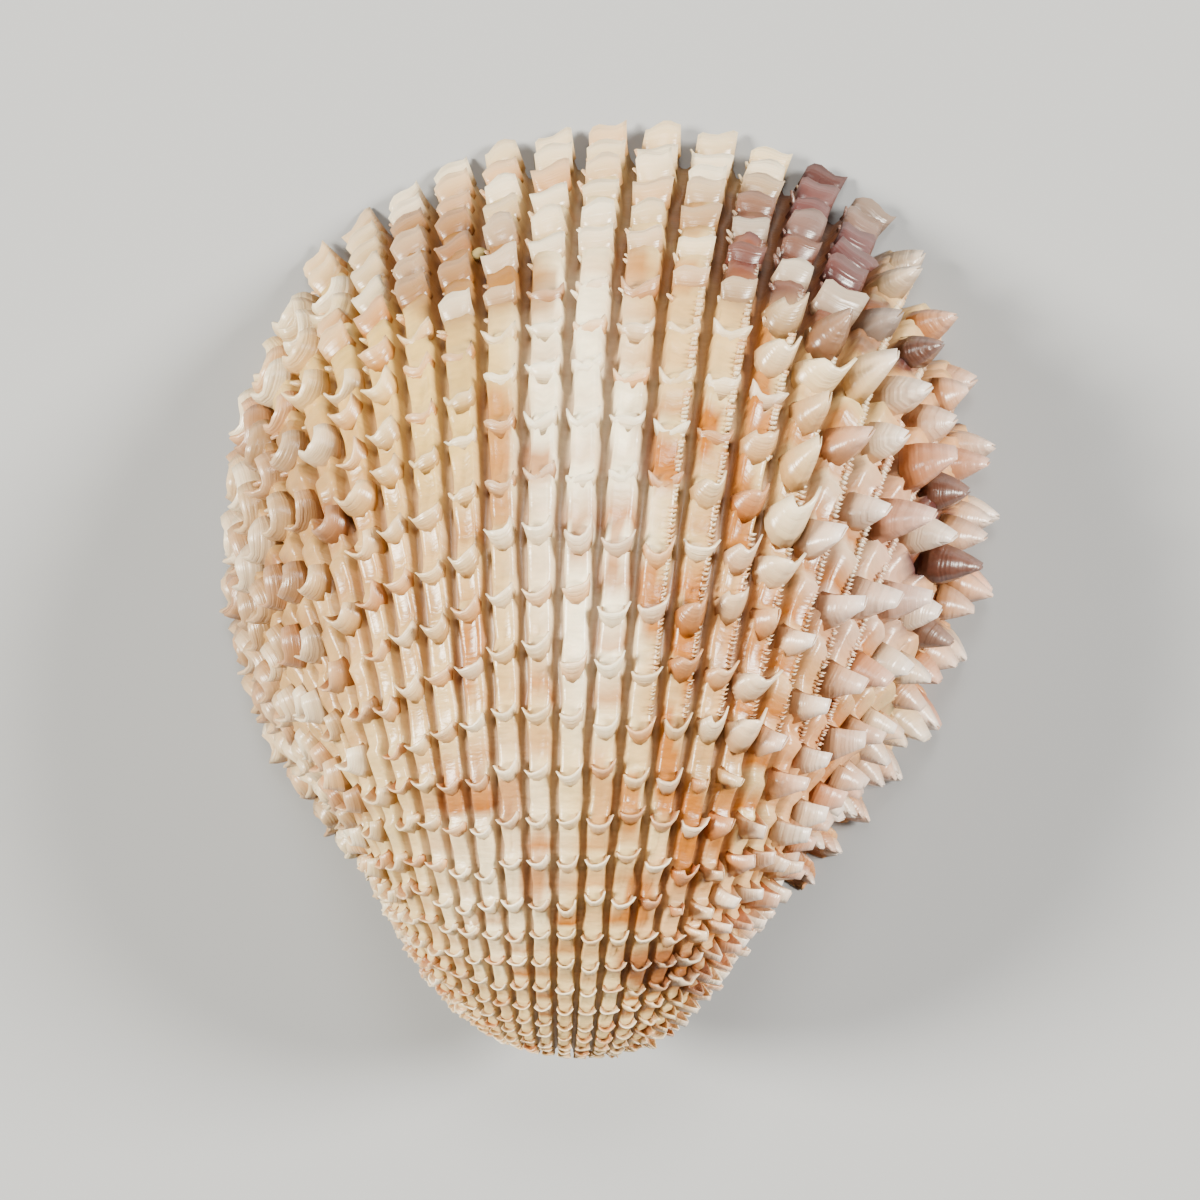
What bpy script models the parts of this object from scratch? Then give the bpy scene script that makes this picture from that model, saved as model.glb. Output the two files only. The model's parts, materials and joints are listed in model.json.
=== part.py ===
"""One valve of a prickly cockle shell, lying on its rim.

+Z is up, +Y points from the beak to the lower (ventral) margin and +X to the hind end, where the
scales are long spines. The valve is a coil: the outline of its rim shrinks while it turns about the
hinge axis. A rib keeps its angle about the pole of the coil, and a row of scales is a former rim.
"""

import math

import bmesh
import bpy
import numpy as np

MM = 0.001

# The coil
GROWTH_RATE = 0.50
POLE_HEIGHT = 5.0
FLATTENING = 0.83
BEAK_ANGLE = 3.7
BEAK_CLOSING_POWER = 6
BEAK_CLOSING_SHARPNESS = 0.7
FLANK_FULLNESS = 0.235
FLANK_FULLNESS_ANGLE = 1.0

# The rim, as a radius in mm about the pole at each angle in degrees from the middle of the ventral side
RIM_RADII = (
    (-101.0, 14.9),
    (-75.0, 22.5),
    (-50.0, 38.5),
    (-25.0, 57.6),
    (0.0, 66.9),
    (25.0, 66.9),
    (50.0, 50.2),
    (75.0, 29.6),
    (97.0, 21.4),
)

# The ribs
RIB_COUNT = 38
RIB_ANGLE_MIDDLE = -2.2
RIB_ANGLE_SPAN = 78.0
RIB_ANGLE_CROWDING = 19.5
RIB_TOP_EDGE = 0.32
RIB_HEIGHT_PER_PITCH = 0.42

# The scales and the spines, whose height is a part of the rib pitch
SCALE_ROWS = 16
SCALE_ROW_POWER = 1.25
SCALE_HEIGHT_PER_PITCH = 0.20
SPINE_HEIGHT_PER_PITCH = 0.55
SPINE_START_ANGLE = 28.0
SPINE_FULL_ANGLE = 60.0
SCALE_FRONT_WIDTH = 0.35
SCALE_OVERHANG = 0.25

# The wall and the hollow
WALL = 1.7
RIM_NOTCH = 0.9
NOTCH_FADE_ANGLE = 0.35
HINGE_PLATE_WIDTH = 4.2
HINGE_COLUMNS = 6
HOLLOW_END_ANGLE = 2.55
HOLLOW_ROWS = 9
HOLLOW_CENTRE = (2.0, 25.0)

COLOR_SHELL = (0.86, 0.73, 0.60, 1.0)


def clear_scene():
    """Remove every object that the file starts with."""
    for old in list(bpy.data.objects):
        bpy.data.objects.remove(old, do_unlink=True)


def shell_material():
    """Make the dull cream finish of the shell."""
    material = bpy.data.materials.new("shell_cream")
    material.use_nodes = True
    shader = material.node_tree.nodes["Principled BSDF"]
    shader.inputs["Base Color"].default_value = COLOR_SHELL
    shader.inputs["Roughness"].default_value = 0.42
    shader.inputs["Metallic"].default_value = 0.0
    return material


def smooth_step(value, start, end):
    """Ease from 0 at start to 1 at end."""
    share = np.clip((value - start) / (end - start), 0.0, 1.0)
    return share * share * (3.0 - 2.0 * share)


def rim_radius(angle):
    """Radius of the rim in mm at an angle in degrees, on a smooth curve through RIM_RADII."""
    knots = np.array([knot for knot, radius in RIM_RADII])
    radii = np.array([radius for knot, radius in RIM_RADII])
    slopes = np.gradient(radii, knots)
    span = np.clip(np.searchsorted(knots, angle) - 1, 0, len(knots) - 2)
    width = knots[span + 1] - knots[span]
    share = (angle - knots[span]) / width
    square = share * share
    cube = square * share
    start_part = (2.0 * cube - 3.0 * square + 1.0) * radii[span]
    end_part = (3.0 * square - 2.0 * cube) * radii[span + 1]
    start_slope = (cube - 2.0 * square + share) * width * slopes[span]
    end_slope = (cube - square) * width * slopes[span + 1]
    return start_part + end_part + start_slope + end_slope


def rib_angle(rib):
    """Angle in degrees of a place counted in ribs from the front end of the hinge."""
    share = 2.0 * rib / RIB_COUNT - 1.0
    return RIB_ANGLE_MIDDLE + RIB_ANGLE_SPAN * share + RIB_ANGLE_CROWDING * share**3


def shrink(turn):
    """Size of the former rim at a turn in radians, as a part of the present rim."""
    closing = max(0.0, 1.0 - (turn / BEAK_ANGLE) ** BEAK_CLOSING_POWER)
    return math.exp(-GROWTH_RATE * turn) * closing**BEAK_CLOSING_SHARPNESS


def place(across, outward, turn):
    """Set points of a former rim's own plane, given in mm, at its turn about the hinge axis."""
    drop = shrink(turn) * POLE_HEIGHT
    back = outward * math.cos(turn) + drop * math.sin(turn)
    lift = outward * math.sin(turn) - drop * math.cos(turn) + POLE_HEIGHT
    return np.stack([across, back, lift * FLATTENING], axis=-1)


def fullness(radians, turn):
    """How far the flanks swell beyond the plain coil between the rim and the beak, as a factor."""
    share = turn / FLANK_FULLNESS_ANGLE
    return 1.0 + FLANK_FULLNESS * np.sin(radians) ** 2 * share * math.exp(1.0 - share)


def rim_curve(ribs, turn):
    """Points of a former rim, in mm in its own plane, and their outward directions, at places along the ribs."""
    angles = rib_angle(ribs)
    angle_step = 0.01
    points = []
    for shift in (-angle_step, 0.0, angle_step):
        radians = np.radians(angles + shift)
        radius = rim_radius(angles + shift) * fullness(radians, turn) * shrink(turn)
        points.append(np.stack([radius * np.sin(radians), radius * np.cos(radians)], axis=-1))
    along = points[2] - points[0]
    along /= np.linalg.norm(along, axis=1)[:, None]
    outward = np.stack([-along[:, 1], along[:, 0]], axis=-1)
    return points[1], outward


def rib_pitch(turn):
    """Distance in mm from groove to groove at each rib on a former rim."""
    grooves, _ = rim_curve(np.arange(RIB_COUNT + 1, dtype=float), turn)
    return np.linalg.norm(np.diff(grooves, axis=0), axis=1)


def scale_turns():
    """Turns in radians of the crest of each row of scales, from the rim to the beak."""
    rows = np.arange(1, SCALE_ROWS + 1) / (SCALE_ROWS + 0.6)
    return BEAK_ANGLE * rows**SCALE_ROW_POWER


def hinge_line(start, end):
    """Points of the straight hinge line between the two ends of the ribbed rim, ends left out."""
    shares = np.arange(1, HINGE_COLUMNS + 1)[:, None] / (HINGE_COLUMNS + 1)
    return start + (end - start) * shares


def outer_ring(turn, scale_part):
    """One former rim with its ribs; scale_part is 0 between scales and 1 on a scale's crest."""
    pitch = rib_pitch(turn)
    middle_angle = rib_angle(np.arange(RIB_COUNT) + 0.5)
    spine = smooth_step(middle_angle, SPINE_START_ANGLE, SPINE_FULL_ANGLE)
    crest = SCALE_HEIGHT_PER_PITCH + (SPINE_HEIGHT_PER_PITCH - SCALE_HEIGHT_PER_PITCH) * spine
    fall = RIB_HEIGHT_PER_PITCH + SCALE_HEIGHT_PER_PITCH
    places = []
    sinks = []
    for rib in range(RIB_COUNT):
        places += [rib, rib + 0.5 - RIB_TOP_EDGE, rib + 0.5 + RIB_TOP_EDGE]
        beside = pitch[max(rib - 1, 0)]
        groove_depth = fall * 0.5 * (beside + pitch[rib])
        top_depth = pitch[rib] * (SCALE_HEIGHT_PER_PITCH - crest[rib] * scale_part)
        sinks += [groove_depth, top_depth, top_depth]
    places.append(RIB_COUNT)
    sinks.append(fall * pitch[-1])
    curve, outward = rim_curve(np.array(places, dtype=float), turn)
    ring = curve - outward * np.array(sinks)[:, None]
    ring = np.concatenate([ring, hinge_line(ring[-1], ring[0])])
    return place(ring[:, 0], ring[:, 1], turn)


def inner_ring(turn):
    """One ring of the hollow's wall, with two points a rib: behind the groove and behind the rib."""
    pitch = rib_pitch(turn)
    fall = RIB_HEIGHT_PER_PITCH + SCALE_HEIGHT_PER_PITCH
    notch = RIM_NOTCH * (1.0 - smooth_step(turn, 0.0, NOTCH_FADE_ANGLE))
    places = []
    depths = []
    for rib in range(RIB_COUNT):
        places += [rib, rib + 0.5]
        depths += [fall * pitch[rib] + WALL, fall * pitch[rib] + WALL - notch]
    places.append(RIB_COUNT)
    depths.append(fall * pitch[-1] + WALL)
    curve, _ = rim_curve(np.array(places, dtype=float), turn)
    hinge = hinge_line(curve[-1], curve[0])
    hinge_bow = np.sin(np.pi * np.arange(1, HINGE_COLUMNS + 1) / (HINGE_COLUMNS + 1))
    hinge_depths = WALL + (HINGE_PLATE_WIDTH - WALL) * hinge_bow
    curve = np.concatenate([curve, hinge])
    depths = np.concatenate([np.array(depths), hinge_depths])
    inward = np.array(HOLLOW_CENTRE) * shrink(turn) - curve
    inward /= np.linalg.norm(inward, axis=1)[:, None]
    ring = curve + inward * depths[:, None]
    return place(ring[:, 0], ring[:, 1], turn)


def add_ring(mesh, points):
    """Add a ring of vertices, given in mm."""
    return [mesh.verts.new(tuple(point * MM)) for point in points]


def join_rings(mesh, first, second):
    """Close the strip between two rings of the same count."""
    count = len(first)
    for index in range(count):
        after = (index + 1) % count
        mesh.faces.new((first[index], first[after], second[after], second[index]))


def close_ring(mesh, ring, tip):
    """Close a ring with a fan to one tip."""
    count = len(ring)
    for index in range(count):
        mesh.faces.new((ring[index], ring[(index + 1) % count], tip))


def join_rim(mesh, outer, inner):
    """Close the flat rim: three outer points a rib meet two inner points a rib."""
    for rib in range(RIB_COUNT):
        groove, left, right, groove_after = (outer[3 * rib + step] for step in range(4))
        behind, notch, behind_after = (inner[2 * rib + step] for step in range(3))
        mesh.faces.new((behind, left, groove))
        mesh.faces.new((behind, notch, left))
        mesh.faces.new((notch, right, left))
        mesh.faces.new((notch, behind_after, right))
        mesh.faces.new((behind_after, groove_after, right))
    outer_hinge = outer[3 * RIB_COUNT:] + [outer[0]]
    inner_hinge = inner[2 * RIB_COUNT:] + [inner[0]]
    for step in range(HINGE_COLUMNS + 1):
        mesh.faces.new((outer_hinge[step + 1], outer_hinge[step], inner_hinge[step], inner_hinge[step + 1]))


def add_outside(mesh):
    """Build the ribbed and scaled outside from the rim to the beak and return its ring at the rim."""
    rim = add_ring(mesh, outer_ring(0.0, 0.5))
    last = rim
    turn_before = 0.0
    for turn in scale_turns():
        gap = turn - turn_before
        foot = add_ring(mesh, outer_ring(turn - gap * SCALE_FRONT_WIDTH, 0.0))
        join_rings(mesh, last, foot)
        crest = add_ring(mesh, outer_ring(turn - gap * SCALE_OVERHANG, 1.0))
        join_rings(mesh, foot, crest)
        last = crest
        turn_before = turn
    tip = mesh.verts.new((0.0, 0.0, POLE_HEIGHT * FLATTENING * MM))
    close_ring(mesh, last, tip)
    return rim


def add_hollow(mesh):
    """Build the wall of the hollow from the rim to its end under the beak and return its ring at the rim."""
    rim = add_ring(mesh, inner_ring(0.0))
    last = rim
    for row in range(1, HOLLOW_ROWS + 1):
        ring = add_ring(mesh, inner_ring(HOLLOW_END_ANGLE * row / HOLLOW_ROWS))
        join_rings(mesh, ring, last)
        last = ring
    middle = sum((vertex.co for vertex in last), last[0].co * 0.0) / len(last)
    tip = mesh.verts.new(middle)
    close_ring(mesh, last[::-1], tip)
    return rim


def build_valve():
    """Build the valve as one closed solid, with its origin under the middle of its box."""
    mesh = bmesh.new()
    outer_rim = add_outside(mesh)
    inner_rim = add_hollow(mesh)
    join_rim(mesh, outer_rim, inner_rim)
    bmesh.ops.triangulate(mesh, faces=mesh.faces[:])
    bmesh.ops.recalc_face_normals(mesh, faces=mesh.faces[:])
    places = np.array([vertex.co for vertex in mesh.verts])
    middle = 0.5 * (places.min(axis=0) + places.max(axis=0))
    bmesh.ops.translate(mesh, verts=mesh.verts[:], vec=(-middle[0], -middle[1], 0.0))
    data = bpy.data.meshes.new("valve")
    mesh.to_mesh(data)
    mesh.free()
    data.shade_smooth()
    data.set_sharp_from_angle(angle=math.radians(35.0))
    data.materials.append(shell_material())
    valve = bpy.data.objects.new("valve", data)
    shell = bpy.data.collections.new("cockle_shell")
    bpy.context.scene.collection.children.link(shell)
    shell.objects.link(valve)
    return valve


clear_scene()
build_valve()
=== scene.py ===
"""Looks of one valve of a prickly cockle shell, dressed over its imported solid.

The valve is a coil: the outline of its rim shrinks while it turns about the hinge axis. A rib keeps
its angle about the pole of the coil, and a row of scales is a former rim. Lengths are in millimetres
until a mesh is made, and angles about the hinge axis ("turn") are in radians.
"""

import json
import logging
import math
from dataclasses import dataclass, replace
from enum import Enum
from functools import cached_property
from typing import Sequence

import bmesh
import bpy
import numpy as np
from mathutils import Matrix, Vector

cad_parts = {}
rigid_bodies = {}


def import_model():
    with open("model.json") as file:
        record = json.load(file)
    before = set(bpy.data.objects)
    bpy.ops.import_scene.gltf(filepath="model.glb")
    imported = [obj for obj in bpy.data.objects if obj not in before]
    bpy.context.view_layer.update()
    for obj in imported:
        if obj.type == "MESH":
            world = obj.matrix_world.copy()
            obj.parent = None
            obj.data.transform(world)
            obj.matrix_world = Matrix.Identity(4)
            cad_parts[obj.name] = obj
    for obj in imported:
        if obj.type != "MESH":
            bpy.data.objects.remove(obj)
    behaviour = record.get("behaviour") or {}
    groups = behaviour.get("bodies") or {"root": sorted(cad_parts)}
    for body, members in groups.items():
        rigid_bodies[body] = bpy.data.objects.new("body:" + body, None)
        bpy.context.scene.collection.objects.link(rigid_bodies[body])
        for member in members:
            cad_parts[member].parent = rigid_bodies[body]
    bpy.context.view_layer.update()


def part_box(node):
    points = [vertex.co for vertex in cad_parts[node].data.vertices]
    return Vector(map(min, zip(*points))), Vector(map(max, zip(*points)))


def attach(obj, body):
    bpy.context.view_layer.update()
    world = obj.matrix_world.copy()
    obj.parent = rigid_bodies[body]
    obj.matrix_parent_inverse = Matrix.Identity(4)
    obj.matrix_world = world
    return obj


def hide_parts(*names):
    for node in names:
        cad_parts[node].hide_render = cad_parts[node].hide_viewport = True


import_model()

MM = 0.001
BODY = "root"
NODE = "valve"
HASH_WEIGHTS = (12.9898, 78.233, 37.719)
HASH_SCALE = 43758.5453
HASH_SEED_STEP = 0.7311
log = logging.getLogger("cockle")


def smooth_step(value: np.ndarray, start: float, end: float) -> np.ndarray:
    """Ease from 0 at start to 1 at end.

    Args:
        value: Where to read the step.
        start: Value at which it leaves 0.
        end: Value at which it reaches 1.

    Returns:
        The step, between 0 and 1.
    """
    share = np.clip((value - start) / (end - start), 0.0, 1.0)
    return share * share * (3.0 - 2.0 * share)


def tone(code: str) -> tuple[float, float, float]:
    """Turn a six-digit screen colour into the linear colour that shaders read.

    Args:
        code: Colour as rrggbb.

    Returns:
        Linear red, green and blue.
    """
    parts = [int(code[start:start + 2], 16) / 255.0 for start in (0, 2, 4)]
    return tuple(part / 12.92 if part <= 0.04045 else ((part + 0.055) / 1.055) ** 2.4 for part in parts)


def hash_noise(*keys: np.ndarray, seed: int = 0) -> np.ndarray:
    """Make repeatable scatter from whole-number keys.

    Args:
        keys: Arrays of whole numbers that say which place is meant.
        seed: Picks one scatter out of many.

    Returns:
        Values spread evenly between -1 and 1.
    """
    mix = np.full(np.broadcast(*keys).shape, 1.0 + seed * HASH_SEED_STEP)
    for weight, key in zip(HASH_WEIGHTS, keys):
        mix = mix + np.asarray(key, dtype=float) * weight
    wave = np.sin(mix) * HASH_SCALE
    return 2.0 * (wave - np.floor(wave)) - 1.0


def soft_noise(first: np.ndarray, second: np.ndarray, seed: int = 0) -> np.ndarray:
    """Make smooth scatter over a plane, one swell per unit.

    Args:
        first: First coordinate.
        second: Second coordinate.
        seed: Picks one scatter out of many.

    Returns:
        Values between -1 and 1.
    """
    cell_a, cell_b = np.floor(first), np.floor(second)
    ease_a = smooth_step(first - cell_a, 0.0, 1.0)
    ease_b = smooth_step(second - cell_b, 0.0, 1.0)
    corners = [[hash_noise(cell_a + i, cell_b + j, seed=seed) for j in (0, 1)] for i in (0, 1)]
    near = corners[0][0] * (1.0 - ease_b) + corners[0][1] * ease_b
    far = corners[1][0] * (1.0 - ease_b) + corners[1][1] * ease_b
    return near * (1.0 - ease_a) + far * ease_a


@dataclass(frozen=True)
class Seats:
    """Places on the ribs and the directions there, one row for each."""

    points: np.ndarray
    across: np.ndarray
    forward: np.ndarray
    upward: np.ndarray
    width: np.ndarray

    def aims(self, curl: np.ndarray, yaw: np.ndarray) -> np.ndarray:
        """Give the turned position of each seat as Euler angles.

        Args:
            curl: Radians by which each leans back from the rim.
            yaw: Radians by which each turns about its own height.

        Returns:
            Euler angles in XYZ order.
        """
        aims = []
        for across, forward, upward, lean, spin in zip(self.across, self.forward, self.upward, curl, yaw):
            stand = Matrix([across, forward, upward]).transposed()
            stand = stand @ Matrix.Rotation(spin, 3, "Z") @ Matrix.Rotation(lean, 3, "X")
            aims.append(tuple(stand.to_euler()))
        return np.array(aims)


@dataclass(frozen=True)
class Coil:
    """The rule by which the valve grew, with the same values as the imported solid."""

    growth_rate: float = 0.50
    pole_height: float = 5.0
    flattening: float = 0.83
    beak_angle: float = 3.7
    closing_power: float = 6.0
    closing_sharpness: float = 0.7
    flank_fullness: float = 0.235
    flank_fullness_angle: float = 1.0
    rim_radii: tuple[tuple[float, float], ...] = (
        (-101.0, 14.9),
        (-75.0, 22.5),
        (-50.0, 38.5),
        (-25.0, 57.6),
        (0.0, 66.9),
        (25.0, 66.9),
        (50.0, 50.2),
        (75.0, 29.6),
        (97.0, 21.4),
    )
    rib_count: int = 38
    rib_angle_middle: float = -2.2
    rib_angle_span: float = 78.0
    rib_angle_crowding: float = 19.5
    pole_from_front_end: float = 29.387
    pole_from_lower_margin: float = 67.045

    @cached_property
    def pole(self) -> tuple[float, float]:
        """Place of the pole on the ground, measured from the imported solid's box."""
        low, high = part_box(NODE)
        return low[0] / MM + self.pole_from_front_end, high[1] / MM - self.pole_from_lower_margin

    def rim_radius(self, angle: np.ndarray) -> np.ndarray:
        """Read the rim's outline.

        Args:
            angle: Degrees about the pole from the middle of the lower margin.

        Returns:
            Radius on a smooth curve through rim_radii.
        """
        knots = np.array([knot for knot, _ in self.rim_radii])
        radii = np.array([radius for _, radius in self.rim_radii])
        slopes = np.gradient(radii, knots)
        span = np.clip(np.searchsorted(knots, angle) - 1, 0, len(knots) - 2)
        width = knots[span + 1] - knots[span]
        share = (angle - knots[span]) / width
        square, cube = share**2, share**3
        ends = (2.0 * cube - 3.0 * square + 1.0) * radii[span] + (3.0 * square - 2.0 * cube) * radii[span + 1]
        bends = (cube - 2.0 * square + share) * slopes[span] + (cube - square) * slopes[span + 1]
        return ends + bends * width

    def rib_angle(self, rib: np.ndarray) -> np.ndarray:
        """Give the angle in degrees of a place counted in ribs from the front end of the hinge."""
        share = 2.0 * rib / self.rib_count - 1.0
        return self.rib_angle_middle + self.rib_angle_span * share + self.rib_angle_crowding * share**3

    def shrink(self, turn: np.ndarray) -> np.ndarray:
        """Give the size of a former rim as a part of the present rim."""
        closing = np.clip(1.0 - (turn / self.beak_angle) ** self.closing_power, 0.0, 1.0)
        return np.exp(-self.growth_rate * turn) * closing**self.closing_sharpness

    def ring(self, rib: np.ndarray, turn: np.ndarray) -> np.ndarray:
        """Give points of former rims in their own planes, at the size of the present rim.

        Args:
            rib: Places counted in ribs.
            turn: Turns of the former rims.

        Returns:
            Across and outward coordinates in the last axis.
        """
        angle = self.rib_angle(rib)
        radians = np.radians(angle)
        share = turn / self.flank_fullness_angle
        swell = 1.0 + self.flank_fullness * np.sin(radians) ** 2 * share * np.exp(1.0 - share)
        radius = self.rim_radius(angle) * swell
        return np.stack([radius * np.sin(radians), radius * np.cos(radians)], axis=-1)

    def ring_normal(self, rib: np.ndarray, turn: np.ndarray) -> np.ndarray:
        """Give the outward directions of former rims in their own planes."""
        step = 0.01
        along = self.ring(rib + step, turn) - self.ring(rib - step, turn)
        along /= np.linalg.norm(along, axis=-1, keepdims=True)
        return np.stack([-along[..., 1], along[..., 0]], axis=-1)

    def pitch(self, rib: np.ndarray, turn: np.ndarray) -> np.ndarray:
        """Give the distance from groove to groove around a place, at the size of the present rim."""
        half = 0.5
        return np.linalg.norm(self.ring(rib + half, turn) - self.ring(rib - half, turn), axis=-1)

    def seats(self, ribs: np.ndarray, turns: np.ndarray, depth: float) -> "Seats":
        """Find seats for things that grow on the ribs.

        Args:
            ribs: Places counted in ribs.
            turns: Their turns.
            depth: Distance under the outline, as a part of the rib pitch.

        Returns:
            The seats, with a direction across the rib, one towards the rim and one outward.
        """
        step = 0.01

        def spot(rib: np.ndarray, turn: np.ndarray) -> np.ndarray:
            sunk = self.ring_normal(rib, turn) * (depth * self.pitch(rib, turn))[:, None]
            return self.place(self.ring(rib, turn) - sunk, turn)

        across = spot(ribs + step, turns) - spot(ribs - step, turns)
        across /= np.linalg.norm(across, axis=1)[:, None]
        forward = spot(ribs, np.maximum(turns - step, 0.0)) - spot(ribs, turns + step)
        forward -= across * np.sum(across * forward, axis=1)[:, None]
        forward /= np.linalg.norm(forward, axis=1)[:, None]
        width = self.pitch(ribs, turns) * self.shrink(turns)
        return Seats(spot(ribs, turns), across, forward, np.cross(across, forward), width)

    def place(self, plane: np.ndarray, turn: np.ndarray) -> np.ndarray:
        """Set points of former rims in space.

        Args:
            plane: Across and outward coordinates at the size of the present rim.
            turn: Turns of the former rims.

        Returns:
            Points in millimetres in the part's own frame.
        """
        size = self.shrink(turn)
        across = plane[..., 0] * size
        outward = plane[..., 1] * size
        drop = size * self.pole_height
        back = outward * np.cos(turn) + drop * np.sin(turn)
        lift = (outward * np.sin(turn) - drop * np.cos(turn) + self.pole_height) * self.flattening
        pole_x, pole_y = self.pole
        return np.stack([across + pole_x, back + pole_y, lift], axis=-1)


@dataclass(frozen=True)
class Ornament:
    """Ribs and rows of scales, with heights as a part of the rib pitch."""

    rib_height: float = 0.42
    scale_room: float = 0.20
    ramp_height: float = 0.10
    first_row: float = 0.032
    row_steps: tuple[tuple[float, float], ...] = (
        (0.0, 0.058),
        (0.3, 0.068),
        (0.6, 0.092),
        (0.9, 0.108),
        (1.5, 0.100),
        (2.1, 0.086),
        (2.8, 0.074),
        (3.6, 0.070),
    )
    last_turn: float = 3.62
    jitter: float = 0.20
    drift: float = 1.2
    drift_per_rib: float = 0.37
    drift_per_row: float = 0.23
    shake: float = 0.6
    settled_rows: tuple[float, float] = (-1.0, 2.0)

    @cached_property
    def rows(self) -> np.ndarray:
        """Turns of all the rows from the rim to the beak."""
        turns = [self.first_row]
        while turns[-1] < self.last_turn:
            turns.append(turns[-1] + self.step(turns[-1]))
        return np.array(turns)

    def step(self, turn: float) -> float:
        """Give the distance to the next row in radians."""
        knots, steps = zip(*self.row_steps)
        return float(np.interp(turn, knots, steps))

    def row_turn(self, row: np.ndarray) -> np.ndarray:
        """Give the turn of a row of scales counted from the rim, also between rows."""
        inside = np.interp(row, np.arange(len(self.rows)), self.rows)
        return np.where(row < 0.0, self.first_row + row * self.row_steps[0][1], inside)

    def scale_turn(self, rib: np.ndarray, row: np.ndarray) -> np.ndarray:
        """Give the turn of one scale, a little before or after its row."""
        wander = soft_noise(rib * self.drift_per_rib, row * self.drift_per_row, seed=5) * self.drift
        wander = wander + hash_noise(rib, row, seed=3) * self.shake
        room = self.row_turn(row + 1.0) - self.row_turn(row)
        return self.row_turn(row) + self.jitter * room * wander * smooth_step(row, *self.settled_rows)


@dataclass(frozen=True)
class Camera:
    """The viewpoint of the photograph: straight above the valve."""

    target: tuple[float, float, float] = (-0.93, -1.45, 12.0)
    distance: float = 215.0
    sideways: float = 0.031
    lens: float = 75.1
    sensor: float = 36.0
    frame_pixels: float = 1200.0
    nearest: float = 0.01
    farthest: float = 10.0

    @property
    def backward(self) -> Vector:
        """Direction from the target to the camera."""
        return Vector((math.sin(self.sideways), 0.0, math.cos(self.sideways)))

    def build(self) -> None:
        """Make the camera and give it to the scene."""
        data = bpy.data.cameras.new("shell_camera")
        data.lens = self.lens
        data.sensor_width = self.sensor
        camera = bpy.data.objects.new("shell_camera", data)
        camera.location = (Vector(self.target) + self.backward * self.distance) * MM
        camera.rotation_mode = "QUATERNION"
        across = Vector((0.0, 1.0, 0.0)).cross(self.backward).normalized()
        up = self.backward.cross(across)
        camera.rotation_quaternion = Matrix((across, up, self.backward)).transposed().to_quaternion()
        data.clip_start = self.nearest
        data.clip_end = self.farthest
        bpy.context.scene.collection.objects.link(camera)
        bpy.context.scene.camera = camera

    def seen_at(self, points: np.ndarray) -> tuple[np.ndarray, np.ndarray]:
        """Find where points stand in the photograph's frame.

        Args:
            points: Points in millimetres.

        Returns:
            Pixels from the left and from the top of the frame.
        """
        backward = np.array(self.backward)
        across = np.cross([0.0, 1.0, 0.0], backward)
        across /= np.linalg.norm(across)
        up = np.cross(backward, across)
        offset = points - np.array(self.target)
        depth = self.distance - offset @ backward
        zoom = self.frame_pixels * self.lens / self.sensor
        half = self.frame_pixels / 2.0
        return half + zoom * (offset @ across) / depth, half - zoom * (offset @ up) / depth


CAMERA = Camera()
COIL = Coil()
ORNAMENT = Ornament()


@dataclass(frozen=True)
class Patch:
    """A soft patch of colour, placed by where it is seen from above in the photograph's frame."""

    color: str
    x: float
    y: float
    width: float
    height: float
    strength: float = 1.0


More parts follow.
